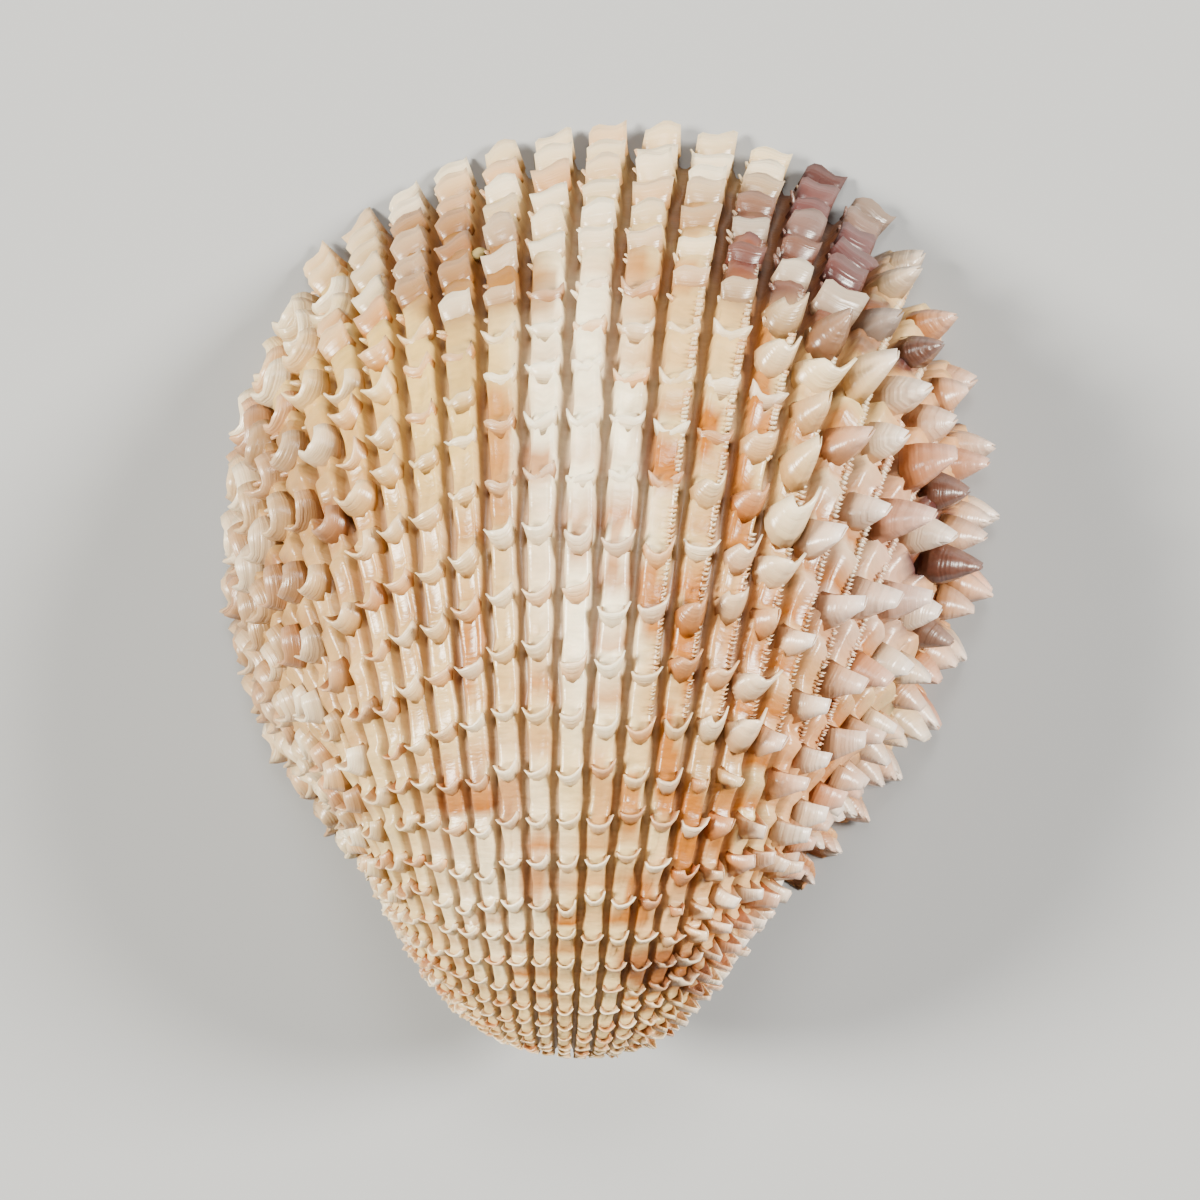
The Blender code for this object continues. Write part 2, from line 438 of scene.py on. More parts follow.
class Paint:
    """Colours laid over ribs and scales as the shell grew, before the finish breaks them up."""

    cream = "d8bb82"
    white = "fff3d2"
    yellow = "d3af60"
    honey = "c79248"
    tan = "8f6028"
    orange = "a65f04"
    salmon = "ca8858"
    mauve = "56262a"
    plum = "431a1a"
    brown = "80481c"
    lilac = "cdb2b0"
    ground = "7a5a3a"
    amber = "d6a058"

    luminance: tuple[float, float, float] = (0.2126, 0.7152, 0.0722)
    bend: tuple[float, float] = (7.0, 10.0)
    bend_cell: float = 40.0
    wash_edge: tuple[float, float, float] = (2.0, 0.3, 1.5)
    mark_edge: tuple[float, float, float] = (3.0, 0.5, 1.3)
    rib_tint: float = 0.05
    rib_tint_cell: tuple[float, float] = (1.7, 5.0)
    rib_tint_by_channel: tuple[float, float, float] = (0.3, 0.8, 1.6)
    stain: float = 0.26
    stain_behind: float = 0.46
    stain_angles: tuple[float, float] = (-26.0, 8.0)
    stain_turns: tuple[float, float] = (0.45, 0.9)
    stain_patches: tuple[float, float] = (0.70, 1.3)
    stain_cell: tuple[float, float] = (1.3, 6.0)
    calm: float = 0.2
    calm_dark: float = 0.35
    warmth: float = 1.1
    paleness: float = 0.9
    amber_glow: float = 1.25

    washes: tuple[Patch, ...] = (
        Patch(white, 585, 480, 75, 260, 0.9),
        Patch(white, 500, 850, 70, 120, 0.5),
        Patch(yellow, 400, 400, 110, 110, 0.75),
        Patch(yellow, 330, 340, 80, 90, 0.5),
        Patch(honey, 320, 570, 120, 190, 0.5),
        Patch(tan, 300, 600, 70, 170, 0.3),
        Patch(tan, 235, 640, 30, 100, 0.7),
        Patch(tan, 270, 500, 60, 80, 0.3),
        Patch(honey, 480, 650, 90, 200, 0.3),
        Patch(honey, 690, 330, 90, 60, 0.35),
        Patch(salmon, 930, 520, 60, 190, 0.75),
        Patch(salmon, 830, 800, 70, 100, 0.7),
        Patch(salmon, 800, 660, 90, 120, 0.5),
        Patch(lilac, 860, 560, 60, 120, 0.4),
        Patch(orange, 700, 700, 60, 150, 0.36),
        Patch(orange, 740, 560, 45, 110, 0.36),
        Patch(salmon, 700, 900, 80, 60, 0.45),
        Patch(mauve, 808, 252, 95, 72, 0.92),
        Patch(tan, 458, 268, 90, 58, 0.88),
        Patch(ground, 455, 330, 26, 90, 0.25),
    )

    marks: tuple[Patch, ...] = (
        Patch(tan, 405, 262, 22, 34, 0.9),
        Patch(tan, 452, 262, 22, 30, 0.9),
        Patch(tan, 497, 262, 22, 40, 0.95),
        Patch(tan, 540, 290, 20, 26, 0.7),
        Patch(orange, 636, 262, 20, 30, 0.6),
        Patch(orange, 682, 270, 20, 20, 0.7),
        Patch(tan, 690, 205, 22, 24, 0.8),
        Patch(mauve, 735, 240, 24, 40, 0.7),
        Patch(mauve, 800, 215, 26, 40, 0.9),
        Patch(mauve, 845, 270, 26, 30, 0.9),
        Patch(mauve, 825, 320, 24, 34, 0.85),
        Patch(mauve, 868, 330, 22, 30, 0.8),
        Patch(plum, 825, 188, 26, 14, 0.9),
        Patch(plum, 872, 215, 20, 12, 0.9),
        Patch(plum, 908, 358, 22, 17, 1.0),
        Patch(plum, 878, 308, 20, 17, 0.9),
        Patch(plum, 958, 418, 20, 16, 1.0),
        Patch(plum, 932, 510, 24, 17, 1.0),
        Patch(plum, 926, 566, 22, 16, 1.0),
        Patch(plum, 918, 622, 20, 15, 0.9),
        Patch(orange, 662, 455, 14, 26, 0.95),
        Patch(orange, 706, 430, 15, 28, 1.0),
        Patch(orange, 760, 360, 18, 60, 0.85),
        Patch(orange, 760, 420, 18, 34, 0.9),
        Patch(orange, 738, 500, 18, 60, 0.9),
        Patch(orange, 800, 430, 18, 30, 0.7),
        Patch(orange, 840, 430, 16, 30, 0.7),
        Patch(orange, 536, 460, 14, 22, 0.8),
        Patch(orange, 497, 450, 15, 70, 0.7),
        Patch(orange, 575, 545, 10, 26, 0.7),
        Patch(orange, 614, 548, 10, 24, 0.7),
        Patch(orange, 655, 600, 13, 40, 0.9),
        Patch(orange, 688, 640, 13, 60, 0.9),
        Patch(orange, 668, 760, 14, 60, 0.9),
        Patch(orange, 628, 800, 12, 30, 0.8),
        Patch(orange, 690, 830, 14, 60, 0.9),
        Patch(orange, 720, 820, 14, 50, 0.8),
        Patch(orange, 640, 900, 14, 30, 0.8),
        Patch(orange, 600, 800, 12, 40, 0.6),
        Patch(orange, 470, 650, 12, 40, 0.8),
        Patch(orange, 450, 790, 14, 24, 0.8),
        Patch(orange, 480, 790, 14, 24, 0.8),
        Patch(orange, 510, 800, 14, 24, 0.7),
        Patch(orange, 535, 870, 12, 40, 0.6),
        Patch(brown, 660, 968, 44, 24, 0.95),
        Patch(brown, 335, 515, 18, 20, 0.8),
        Patch(brown, 283, 568, 18, 16, 0.7),
        Patch(tan, 275, 440, 26, 24, 0.7),
        Patch(tan, 420, 610, 18, 24, 0.5),
        Patch(tan, 300, 630, 26, 24, 0.6),
        Patch(brown, 240, 660, 14, 24, 0.7),
        Patch(brown, 262, 705, 12, 16, 0.7),
        Patch(tan, 340, 800, 40, 16, 0.7),
        Patch(tan, 640, 430, 12, 20, 0.5),
        Patch(brown, 456, 799, 15, 5, 0.9),
        Patch(brown, 486, 803, 14, 5, 0.9),
        Patch(brown, 514, 807, 13, 5, 0.8),
        Patch(salmon, 985, 470, 14, 40, 0.8),
        Patch(plum, 800, 885, 14, 14, 0.6),
        Patch(salmon, 815, 870, 30, 30, 0.9),
        Patch(salmon, 925, 700, 24, 24, 0.9),
    )

    @classmethod
    def lay(
        cls,
        points: np.ndarray,
        ribs: np.ndarray,
        turns: np.ndarray,
        strength: float = 1.0,
        hollow: np.ndarray | float = 0.0,
    ) -> np.ndarray:
        """Colour points of the outside.

        Args:
            points: Points in millimetres.
            ribs: Their places counted in ribs.
            turns: Their turns.
            strength: How strongly the marks show.
            hollow: How deep each point lies in the hollow before a scale, from 0 to 1.

        Returns:
            Linear colours, with 1 in the last channel.
        """
        x, y = CAMERA.seen_at(points)
        cell_x, cell_y = x / cls.bend_cell, y / cls.bend_cell
        bend_x = cls.bend[0] * soft_noise(cell_x, cell_y, seed=11)
        bend_y = cls.bend[1] * soft_noise(cell_x, cell_y, seed=12)
        color = np.broadcast_to(np.array(tone(cls.cream)), points.shape).copy()
        cell_rib, cell_turn = cls.rib_tint_cell
        rib_shift = soft_noise(np.floor(ribs) * cell_rib, turns * cell_turn, seed=21)[..., None]
        color = color * (1.0 + cls.rib_tint * rib_shift * np.array(cls.rib_tint_by_channel))
        layers = ((cls.washes, cls.wash_edge, 1.0), (cls.marks, cls.mark_edge, strength))
        for patches, (power, inner, outer), boldness in layers:
            for patch in patches:
                reach = (
                    np.abs((x + bend_x - patch.x) / patch.width) ** power
                    + np.abs((y + bend_y - patch.y) / patch.height) ** power
                )
                share = patch.strength * boldness
                share = share * (1.0 - smooth_step(reach, inner, outer))[..., None]
                color = color * (1.0 - share) + np.array(tone(patch.color)) * share
        color = cls.stain_hollows(color, ribs, turns, hollow)
        return np.concatenate([color, np.ones(color.shape[:-1] + (1,))], axis=-1)

    @classmethod
    def stain_hollows(
        cls, color: np.ndarray, ribs: np.ndarray, turns: np.ndarray, hollow: np.ndarray | float
    ) -> np.ndarray:
        """Stain the hollows before the scales orange, most of all behind the middle.

        Args:
            color: Colours of the points.
            ribs: Their places counted in ribs.
            turns: Their turns.
            hollow: How deep each point lies in the hollow before a scale, from 0 to 1.

        Returns:
            The stained colours.
        """
        behind = smooth_step(COIL.rib_angle(ribs), *cls.stain_angles)
        warm = cls.stain + cls.stain_behind * behind * smooth_step(turns, *cls.stain_turns)
        usual, spread = cls.stain_patches
        cell_rib, cell_turn = cls.stain_cell
        patchy = usual + spread * soft_noise(np.floor(ribs) * cell_rib, turns * cell_turn, seed=23)
        share = np.clip(warm * patchy * hollow, 0.0, 1.0)[..., None]
        return color * (1.0 - share) + np.array(tone(cls.orange)) * share

    @classmethod
    def lightness(cls, paint: np.ndarray) -> np.ndarray:
        """Give how light each colour is beside plain cream, as a column between 0 and 1."""
        weights = np.array(cls.luminance)
        return np.clip(paint[:, :3] @ weights / (np.array(tone(cls.cream)) @ weights), 0.0, 1.0)[:, None]

    @classmethod
    def scatter(cls, paint: np.ndarray, chance: np.ndarray) -> np.ndarray:
        """Make neighbouring scales differ a little in colour.

        Args:
            paint: Colour of each scale.
            chance: Scatter between -1 and 1 for each scale.

        Returns:
            The changed colours.
        """
        mild = cls.calm_dark + (1.0 - cls.calm_dark) * cls.lightness(paint)
        warm = np.clip(chance - cls.calm, 0.0, 1.0)[:, None] * cls.warmth * mild
        pale = np.clip(-chance - cls.calm, 0.0, 1.0)[:, None] * cls.paleness * mild
        color = paint[:, :3]
        color = color * (1.0 - warm) + color * np.array(tone(cls.amber)) * cls.amber_glow * warm
        color = color * (1.0 - pale) + np.array(tone(cls.white)) * pale
        return np.concatenate([color, paint[:, 3:]], axis=1)


class NodeTree:
    """Small helper that writes node trees from Python values."""

    def __init__(self, tree: bpy.types.NodeTree) -> None:
        """Keep the tree that is written."""
        self.tree = tree

    def add(self, kind: str, inputs: dict | None = None, **settings: object) -> bpy.types.Node:
        """Add a node.

        Args:
            kind: Blender's name of the node's type.
            inputs: Values or output sockets for its inputs, by name or number.
            settings: Properties of the node.

        Returns:
            The new node.
        """
        node = self.tree.nodes.new(kind)
        for name, value in settings.items():
            setattr(node, name, value)
        return self.wire(node, inputs or {})

    def wire(self, node: bpy.types.Node, inputs: dict) -> bpy.types.Node:
        """Give a node its inputs.

        Args:
            node: The node.
            inputs: Values or output sockets for its inputs, by name or number.

        Returns:
            The node.
        """
        for key, value in inputs.items():
            if isinstance(value, bpy.types.NodeSocket):
                self.tree.links.new(value, node.inputs[key])
            else:
                node.inputs[key].default_value = value
        return node

    def group(self, tree: bpy.types.NodeTree, inputs: dict) -> Sequence[bpy.types.NodeSocket]:
        """Place a shader group.

        Args:
            tree: The group.
            inputs: Values or output sockets for its inputs, by name.

        Returns:
            The outputs of the group.
        """
        node = self.tree.nodes.new("ShaderNodeGroup")
        node.node_tree = tree
        return self.wire(node, inputs).outputs

    def math(self, operation: str, *values: object) -> bpy.types.NodeSocket:
        """Add a Math node and return its result."""
        return self.add("ShaderNodeMath", dict(enumerate(values)), operation=operation).outputs[0]

    def mix(self, share: object, first: object, second: object, blend: str = "MIX") -> bpy.types.NodeSocket:
        """Mix two colours.

        Args:
            share: Part of the second colour.
            first: First colour or socket.
            second: Second colour or socket.
            blend: Blender's name of the way they blend.

        Returns:
            The mixed colour.
        """
        node = self.add("ShaderNodeMix", data_type="RGBA", blend_type=blend, clamp_factor=True)
        return self.wire(node, {0: share, 6: first, 7: second}).outputs[2]

    def attribute(self, name: str, output: str = "Fac") -> bpy.types.NodeSocket:
        """Read one of the piece's attributes in a material."""
        return self.add("ShaderNodeAttribute", attribute_name=name).outputs[output]

    def stored(self, name: str, kind: str) -> bpy.types.NodeSocket:
        """Read one of the geometry's attributes in a modifier's tree."""
        return self.add("GeometryNodeInputNamedAttribute", {"Name": name}, data_type=kind).outputs[0]

    def noise(self, place: object, size: object, detail: float) -> bpy.types.NodeSocket:
        """Add noise and return its height."""
        return self.add("ShaderNodeTexNoise", {"Vector": place, "Scale": size, "Detail": detail}).outputs[0]

    def scaled(self, color: object, share: object) -> bpy.types.NodeSocket:
        """Make a colour lighter or darker."""
        return self.add("ShaderNodeVectorMath", {0: color, "Scale": share}, operation="SCALE").outputs[0]

    def remap(
        self, value: object, source: tuple[float, float], target: tuple[float, float] = (0.0, 1.0)
    ) -> bpy.types.NodeSocket:
        """Map a range onto another and hold it at the ends.

        Args:
            value: The value or socket.
            source: The range that it has.
            target: The range that it gets.

        Returns:
            The mapped value.
        """
        limits = {"From Min": source[0], "From Max": source[1], "To Min": target[0], "To Max": target[1]}
        return self.add("ShaderNodeMapRange", {"Value": value, **limits}).outputs[0]

    def bump(self, height: object, strength: float, distance: float) -> bpy.types.NodeSocket:
        """Add low relief and return its normal."""
        relief = {"Height": height, "Strength": strength, "Distance": distance}
        return self.add("ShaderNodeBump", relief).outputs[0]


def new_finish(name: str) -> tuple[bpy.types.Material, NodeTree, bpy.types.Node]:
    """Start a material.

    Args:
        name: The material's name.

    Returns:
        The material, its tree's helper and its shader.
    """
    material = bpy.data.materials.new(name)
    material.use_nodes = True
    return material, NodeTree(material.node_tree), material.node_tree.nodes["Principled BSDF"]


class GrainGroup:
    """Shader group with the clouds and the grain of lime, for the shell's finishes and the grit."""

    cloud_detail: float = 4.0
    grain_detail: float = 3.0

    def build(self) -> bpy.types.NodeTree:
        """Write the group.

        Returns:
            The group, with named inputs and two heights between 0 and 1.
        """
        tree = bpy.data.node_groups.new("lime_grain", "ShaderNodeTree")
        face = tree.interface
        face.new_socket("Place", in_out="INPUT", socket_type="NodeSocketVector")
        face.new_socket("Cloud size", in_out="INPUT", socket_type="NodeSocketFloat")
        face.new_socket("Grain size", in_out="INPUT", socket_type="NodeSocketFloat")
        face.new_socket("Cloud", in_out="OUTPUT", socket_type="NodeSocketFloat")
        face.new_socket("Grain", in_out="OUTPUT", socket_type="NodeSocketFloat")
        nodes = NodeTree(tree)
        given = nodes.add("NodeGroupInput").outputs
        cloud = nodes.noise(given["Place"], given["Cloud size"], self.cloud_detail)
        grain = nodes.noise(given["Place"], given["Grain size"], self.grain_detail)
        nodes.add("NodeGroupOutput", {"Cloud": cloud, "Grain": grain})
        return tree


class CoilTree:
    """Geometry Nodes tree that coils a flat sheet of former rims about the hinge axis.

    The sheet's points hold across and outward coordinates at the size of the present rim, and the
    height that they are lifted by; the attribute "turn" holds the turn of their rim.
    """

    inputs: tuple[tuple[str, str], ...] = (
        ("Growth rate", "growth_rate"),
        ("Beak angle", "beak_angle"),
        ("Closing power", "closing_power"),
        ("Closing sharpness", "closing_sharpness"),
        ("Flattening", "flattening"),
    )

    def build(self) -> bpy.types.NodeTree:
        """Write the tree.

        Returns:
            The tree, with named inputs for its sizes.
        """
        tree = bpy.data.node_groups.new("coil_the_rim", "GeometryNodeTree")
        face = tree.interface
        face.new_socket("Geometry", in_out="INPUT", socket_type="NodeSocketGeometry")
        for name, _ in self.inputs:
            face.new_socket(name, in_out="INPUT", socket_type="NodeSocketFloat")
        face.new_socket("Pole height", in_out="INPUT", socket_type="NodeSocketFloat")
        face.new_socket("Pole", in_out="INPUT", socket_type="NodeSocketVector")
        face.new_socket("Outside", in_out="INPUT", socket_type="NodeSocketMaterial")
        face.new_socket("Lining", in_out="INPUT", socket_type="NodeSocketMaterial")
        face.new_socket("Geometry", in_out="OUTPUT", socket_type="NodeSocketGeometry")
        nodes = NodeTree(tree)
        given = nodes.add("NodeGroupInput").outputs
        turn = nodes.stored("turn", "FLOAT")
        position = nodes.add("GeometryNodeInputPosition").outputs[0]
        point = nodes.add("ShaderNodeSeparateXYZ", {0: position}).outputs
        size = self.shrink(nodes, given, turn)
        across = nodes.math("MULTIPLY", point[0], size)
        outward = nodes.math("MULTIPLY", point[1], size)
        drop = nodes.math("MULTIPLY", given["Pole height"], size)
        sine = nodes.math("SINE", turn)
        cosine = nodes.math("COSINE", turn)
        back = nodes.math("ADD", nodes.math("MULTIPLY", outward, cosine), nodes.math("MULTIPLY", drop, sine))
        rise = nodes.math("MULTIPLY", outward, sine)
        rise = nodes.math("SUBTRACT", rise, nodes.math("MULTIPLY", drop, cosine))
        rise = nodes.math("MULTIPLY", nodes.math("ADD", rise, given["Pole height"]), given["Flattening"])
        rise = nodes.math("ADD", rise, point[2])
        place = nodes.add("ShaderNodeCombineXYZ", {0: across, 1: back, 2: rise}).outputs[0]
        place = nodes.add("ShaderNodeVectorMath", {0: place, 1: given["Pole"]}, operation="ADD").outputs[0]
        moved = nodes.add("GeometryNodeSetPosition", {"Geometry": given["Geometry"], "Position": place})
        whole = nodes.add("GeometryNodeRealizeInstances", {"Geometry": moved.outputs[0]})
        lining = nodes.stored("lining", "BOOLEAN")
        outer = {"Geometry": whole.outputs[0], "Material": given["Outside"]}
        dressed = nodes.add("GeometryNodeSetMaterial", outer).outputs[0]
        inner = {"Geometry": dressed, "Selection": lining, "Material": given["Lining"]}
        lined = nodes.add("GeometryNodeSetMaterial", inner).outputs[0]
        nodes.add("NodeGroupOutput", {0: lined})
        return tree

    @staticmethod
    def shrink(
        nodes: NodeTree, given: Sequence[bpy.types.NodeSocket], turn: bpy.types.NodeSocket
    ) -> bpy.types.NodeSocket:
        """Write the size of a former rim.

        Args:
            nodes: The tree's helper.
            given: Outputs of the group's input node.
            turn: The turn of each point.

        Returns:
            The size as a part of the present rim.
        """
        rate = nodes.math("MULTIPLY", nodes.math("MULTIPLY", given["Growth rate"], turn), -1.0)
        share = nodes.math("DIVIDE", turn, given["Beak angle"])
        closed = nodes.math("POWER", share, given["Closing power"])
        closing = nodes.math("MAXIMUM", nodes.math("SUBTRACT", 1.0, closed), 0.0)
        closing = nodes.math("POWER", closing, given["Closing sharpness"])
        return nodes.math("MULTIPLY", nodes.math("EXPONENT", rate), closing)


def set_input(modifier: bpy.types.Modifier, name: str, value: object) -> None:
    """Set a Geometry Nodes input by the identifier of its socket.

    Args:
        modifier: The modifier that runs the tree.
        name: The input's name.
        value: Its value.
    """
    for item in modifier.node_group.interface.items_tree:
        if item.item_type == "SOCKET" and item.in_out == "INPUT" and item.name == name:
            modifier[item.identifier] = value


def settle(piece: bpy.types.Object) -> None:
    """Turn a piece's evaluated shape into its plain mesh and remove its modifiers."""
    evaluated = piece.evaluated_get(bpy.context.evaluated_depsgraph_get())
    mesh = bpy.data.meshes.new_from_object(evaluated)
    mesh.name = piece.name
    piece.modifiers.clear()
    piece.data = mesh


def adopt(piece: bpy.types.Object) -> None:
    """Attach a finished piece to the shell, hide the imported solid that it stands for, and log its faces."""
    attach(piece, BODY)
    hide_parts(NODE)
    log.info("%s: %d faces", piece.name, len(piece.data.polygons))


def link(piece: bpy.types.Object) -> bpy.types.Object:
    """Put an object in the scene and return it."""
    bpy.context.scene.collection.objects.link(piece)
    return piece


def store(mesh: bpy.types.Mesh, name: str, kind: str, values: np.ndarray, domain: str = "POINT") -> None:
    """Store values on a mesh.

    Args:
        mesh: The mesh.
        name: The attribute's name.
        kind: Blender's name of its data type.
        values: One value, vector or colour for each element.
        domain: The elements that hold it.
    """
    attribute = mesh.attributes.new(name, kind, domain)
    keys = {"FLOAT_VECTOR": "vector", "FLOAT_COLOR": "color"}
    attribute.data.foreach_set(keys.get(kind, "value"), np.ascontiguousarray(values).ravel())


@dataclass
class ValveBody:
    """The wall of the valve: ribbed outside, rim with hinge plate, and hollow."""

    coil: Coil = COIL
    ornament: Ornament = ORNAMENT
    rib_columns: tuple[float, ...] = (0.0, 0.10, 0.15, 0.19, 0.24, 0.34, 0.5, 0.66, 0.76, 0.81, 0.85, 0.90)
    hinge_columns: int = 8
    wall: float = 1.7
    notch: float = 0.9
    notch_fade: float = 0.35
    hinge_plate: float = 4.2
    plate_middle: float = 0.8
    hollow_end: float = 2.55
    hollow_rows: int = 30
    hollow_centre: tuple[float, float] = (2.0, 25.0)
    fine_until: float = 2.3
    ramp_steps: tuple[tuple[float, float], ...] = ((-0.099, -0.5), (0.10, 0.9), (0.38, 0.35), (0.66, 0.0))
    rim_ramp: float = 0.5
    rim_steps: tuple[tuple[float, float, float], ...] = (
        (0.0, 0.15, 0.1),
        (0.08, 0.0, 0.0),
        (0.3, 0.0, 1.2),
        (0.7, 0.0, 1.3),
        (0.93, 0.0, 0.9),
        (1.0, 0.2, 1.0),
    )
    rim_turn: float = 0.006
    hollow_spacing: float = 1.15
    hinge_fade: float = 20.0
    front_edge: tuple[float, float] = (0.09, 0.22)
    hind_edge: tuple[float, float] = (0.78, 0.91)
    crown_fall: float = 0.10
    crown_half: float = 0.3
    slow_swell: float = 0.07
    fine_swell: float = 0.13
    edge_fray: float = 0.048
    slow_cell: tuple[float, float] = (0.9, 4.0)
    fine_cell: tuple[float, float] = (3.1, 27.0)
    fray_cell: tuple[float, float] = (3.1, 34.0)
    hollow_shift: float = 0.1
    whole_row_shift: float = 0.2
    spoon_places: tuple[float, float] = (0.2, 0.7)
    spoon_cell: tuple[float, float] = (1.3, 9.0)
    spoon_patches: tuple[float, float] = (0.7, 0.5)
    spoon_depth: float = 0.62
    spoon_width: float = 0.19
    spoon_pinch: float = 0.035
    spoon_turns: tuple[float, float] = (0.35, 0.60)

    def columns(self) -> np.ndarray:
        """Places of the columns over the ribs, counted in ribs."""
        ribs = np.arange(self.coil.rib_count)[:, None] + np.array(self.rib_columns)[None, :]
        return np.append(ribs.ravel(), float(self.coil.rib_count))

    def rows(self) -> list[tuple[float, float]]:
        """Rows of the outside behind the rim: counted in scale rows, and the height of the ramp there."""
        rows = []
        for row, turn in enumerate(self.ornament.rows[:-1]):
            steps = self.ramp_steps[1::2] if turn > self.fine_until else self.ramp_steps
            rows += [(row + step, ramp) for step, ramp in steps]
        return rows

    def rib_height(self, ribs: np.ndarray, turns: np.ndarray, hollow: float = 0.0) -> np.ndarray:
        """Height of the rib's cross-section.

        Args:
            ribs: Places counted in ribs.
            turns: Their turns.
            hollow: How deep they lie in the hollow before a scale, from 0 to 1.

        Returns:
            Heights from 0 in the groove to 1 on the rib.
        """
        rib = np.floor(ribs)
        share = ribs - rib
        spoon = hollow * smooth_step(turns, *self.spoon_turns)
        usual, spread = self.spoon_patches
        patchy = soft_noise(rib * self.spoon_cell[0], turns * self.spoon_cell[1], seed=33)
        spoon = spoon * (usual + spread * patchy)
        pinch = self.spoon_pinch * spoon
        fray_at = (rib * self.fray_cell[0], turns * self.fray_cell[1])
        fray_left = self.edge_fray * soft_noise(*fray_at, seed=31)
        fray_right = self.edge_fray * soft_noise(*fray_at, seed=32)
        rise = smooth_step(share - fray_left - pinch, *self.front_edge)
        fall = 1.0 - smooth_step(share - fray_right + pinch, *self.hind_edge)
        crown = 1.0 - self.crown_fall * ((share - 0.5) / self.crown_half) ** 2
        bowl = self.spoon_depth * spoon * np.exp(-(((share - 0.5) / self.spoon_width) ** 2))
        return rise * fall * (crown - bowl)

    def hinge_row(self, start: np.ndarray, end: np.ndarray) -> np.ndarray:
        """Points of the straight hinge line between two ends, ends left out."""
        shares = np.arange(1, self.hinge_columns + 1)[:, None] / (self.hinge_columns + 1)
        return start + (end - start) * shares

    def outer_row(self, turn: np.ndarray, ramp: float, hollow: float = 0.0) -> np.ndarray:
        """One row of the outside in its own plane.

        Args:
            turn: Turn at each column.
            ramp: Height of the ramp behind a scale, from 0 to 1.
            hollow: How deep the row lies in the hollows before the scales, from 0 to 1.

        Returns:
            Across and outward coordinates for the ribs and the hinge line.
        """
        ribs = self.columns()
        pitch = self.coil.pitch(ribs, turn)
        slow_rib, slow_turn = self.slow_cell
        fine_rib, fine_turn = self.fine_cell
        swell = 1.0 + self.slow_swell * soft_noise(np.floor(ribs) * slow_rib, turn * slow_turn, seed=2)
        swell = swell + self.fine_swell * soft_noise(ribs * fine_rib, turn * fine_turn, seed=4)
        top = self.ornament.rib_height * swell + self.ornament.ramp_height * ramp
        height = self.rib_height(ribs, turn, hollow) * top
        depth = self.ornament.scale_room + self.ornament.rib_height - height
        ring = self.coil.ring(ribs, turn) - self.coil.ring_normal(ribs, turn) * (depth * pitch)[:, None]
        return np.concatenate([ring, self.hinge_row(ring[-1], ring[0])])

    def inner_row(self, turn: float) -> np.ndarray:
        """One row of the hollow's wall in its own plane, at the size of the present rim."""
        ribs = self.columns()
        turns = np.full(len(ribs), turn)
        size = float(self.coil.shrink(np.array(turn)))
        fall = self.ornament.scale_room + self.ornament.rib_height
        share = ribs - np.floor(ribs)
        flute = 0.5 - 0.5 * np.cos(2.0 * np.pi * share)
        notch = self.notch * (1.0 - smooth_step(np.array(turn), 0.0, self.notch_fade)) * flute
        depth = fall * self.coil.pitch(ribs, turns) + (self.wall - notch) / size
        curve = self.coil.ring(ribs, turns)
        bow = np.sin(np.pi * np.arange(1, self.hinge_columns + 1) / (self.hinge_columns + 1))
        hinge_depth = (self.wall + (self.hinge_plate - self.wall) * bow) / size
        curve = np.concatenate([curve, self.hinge_row(curve[-1], curve[0])])
        depth = np.concatenate([depth, hinge_depth])
        inward = np.array(self.hollow_centre) - curve
        inward /= np.linalg.norm(inward, axis=1)[:, None]
        return curve + inward * depth[:, None]

    def sheet(self) -> tuple[np.ndarray, ...]:
        """Lay out every row from the beak over the rim to the end of the hollow.

        Returns:
            Plane points, lifts, turns, places in ribs and depths in the hollows before the scales,
            each as a grid of rows and columns.
        """
        ribs = self.columns()
        hinge_ribs = np.full(self.hinge_columns, float(self.coil.rib_count))
        all_ribs = np.concatenate([ribs, hinge_ribs])
        on_rib = self.rib_height(ribs, np.zeros(len(ribs)))
        planes, lifts, turns, hollows = [], [], [], []
        for row, ramp in reversed(self.rows()):
            before = np.array((row + self.hollow_shift) % 1.0)
            hollow = float(smooth_step(before, *self.spoon_places))
            hollows.append(np.full(len(all_ribs), hollow))
            base = float(self.ornament.row_turn(np.array(row)))
            whole = np.full(len(ribs), np.floor(row + self.whole_row_shift))
            drift = self.ornament.scale_turn(np.floor(ribs), whole) - self.ornament.row_turn(whole)
            turn = np.clip(base + drift * on_rib, self.rim_turn, self.ornament.last_turn)
            planes.append(self.outer_row(turn, ramp, hollow))
            hinge_turn = base if base > 0.0 else self.rim_turn
            turns.append(np.concatenate([turn, np.full(self.hinge_columns, hinge_turn)]))
            lifts.append(np.zeros(len(all_ribs)))
        outer = self.outer_row(np.zeros(len(ribs)), self.rim_ramp)
        inner = self.inner_row(0.0)
        hinge = np.concatenate([np.zeros(len(ribs)), np.ones(self.hinge_columns)])
        for share, rib_lift, hinge_lift in self.rim_steps:
            hollows.append(np.zeros(len(all_ribs)))
            planes.append(outer * (1.0 - share) + inner * share)
            turns.append(np.zeros(len(all_ribs)))
            lifts.append(rib_lift * (1.0 - hinge) + hinge_lift * hinge)
        for row in range(1, self.hollow_rows + 1):
            turn = self.hollow_end * (row / self.hollow_rows) ** self.hollow_spacing
            hollows.append(np.zeros(len(all_ribs)))
            planes.append(self.inner_row(turn))
            turns.append(np.full(len(all_ribs), turn))
            lifts.append(hinge * np.exp(-turn * self.hinge_fade))
        grid_ribs = np.tile(all_ribs, (len(planes), 1))
        return np.array(planes), np.array(lifts), np.array(turns), grid_ribs, np.array(hollows)

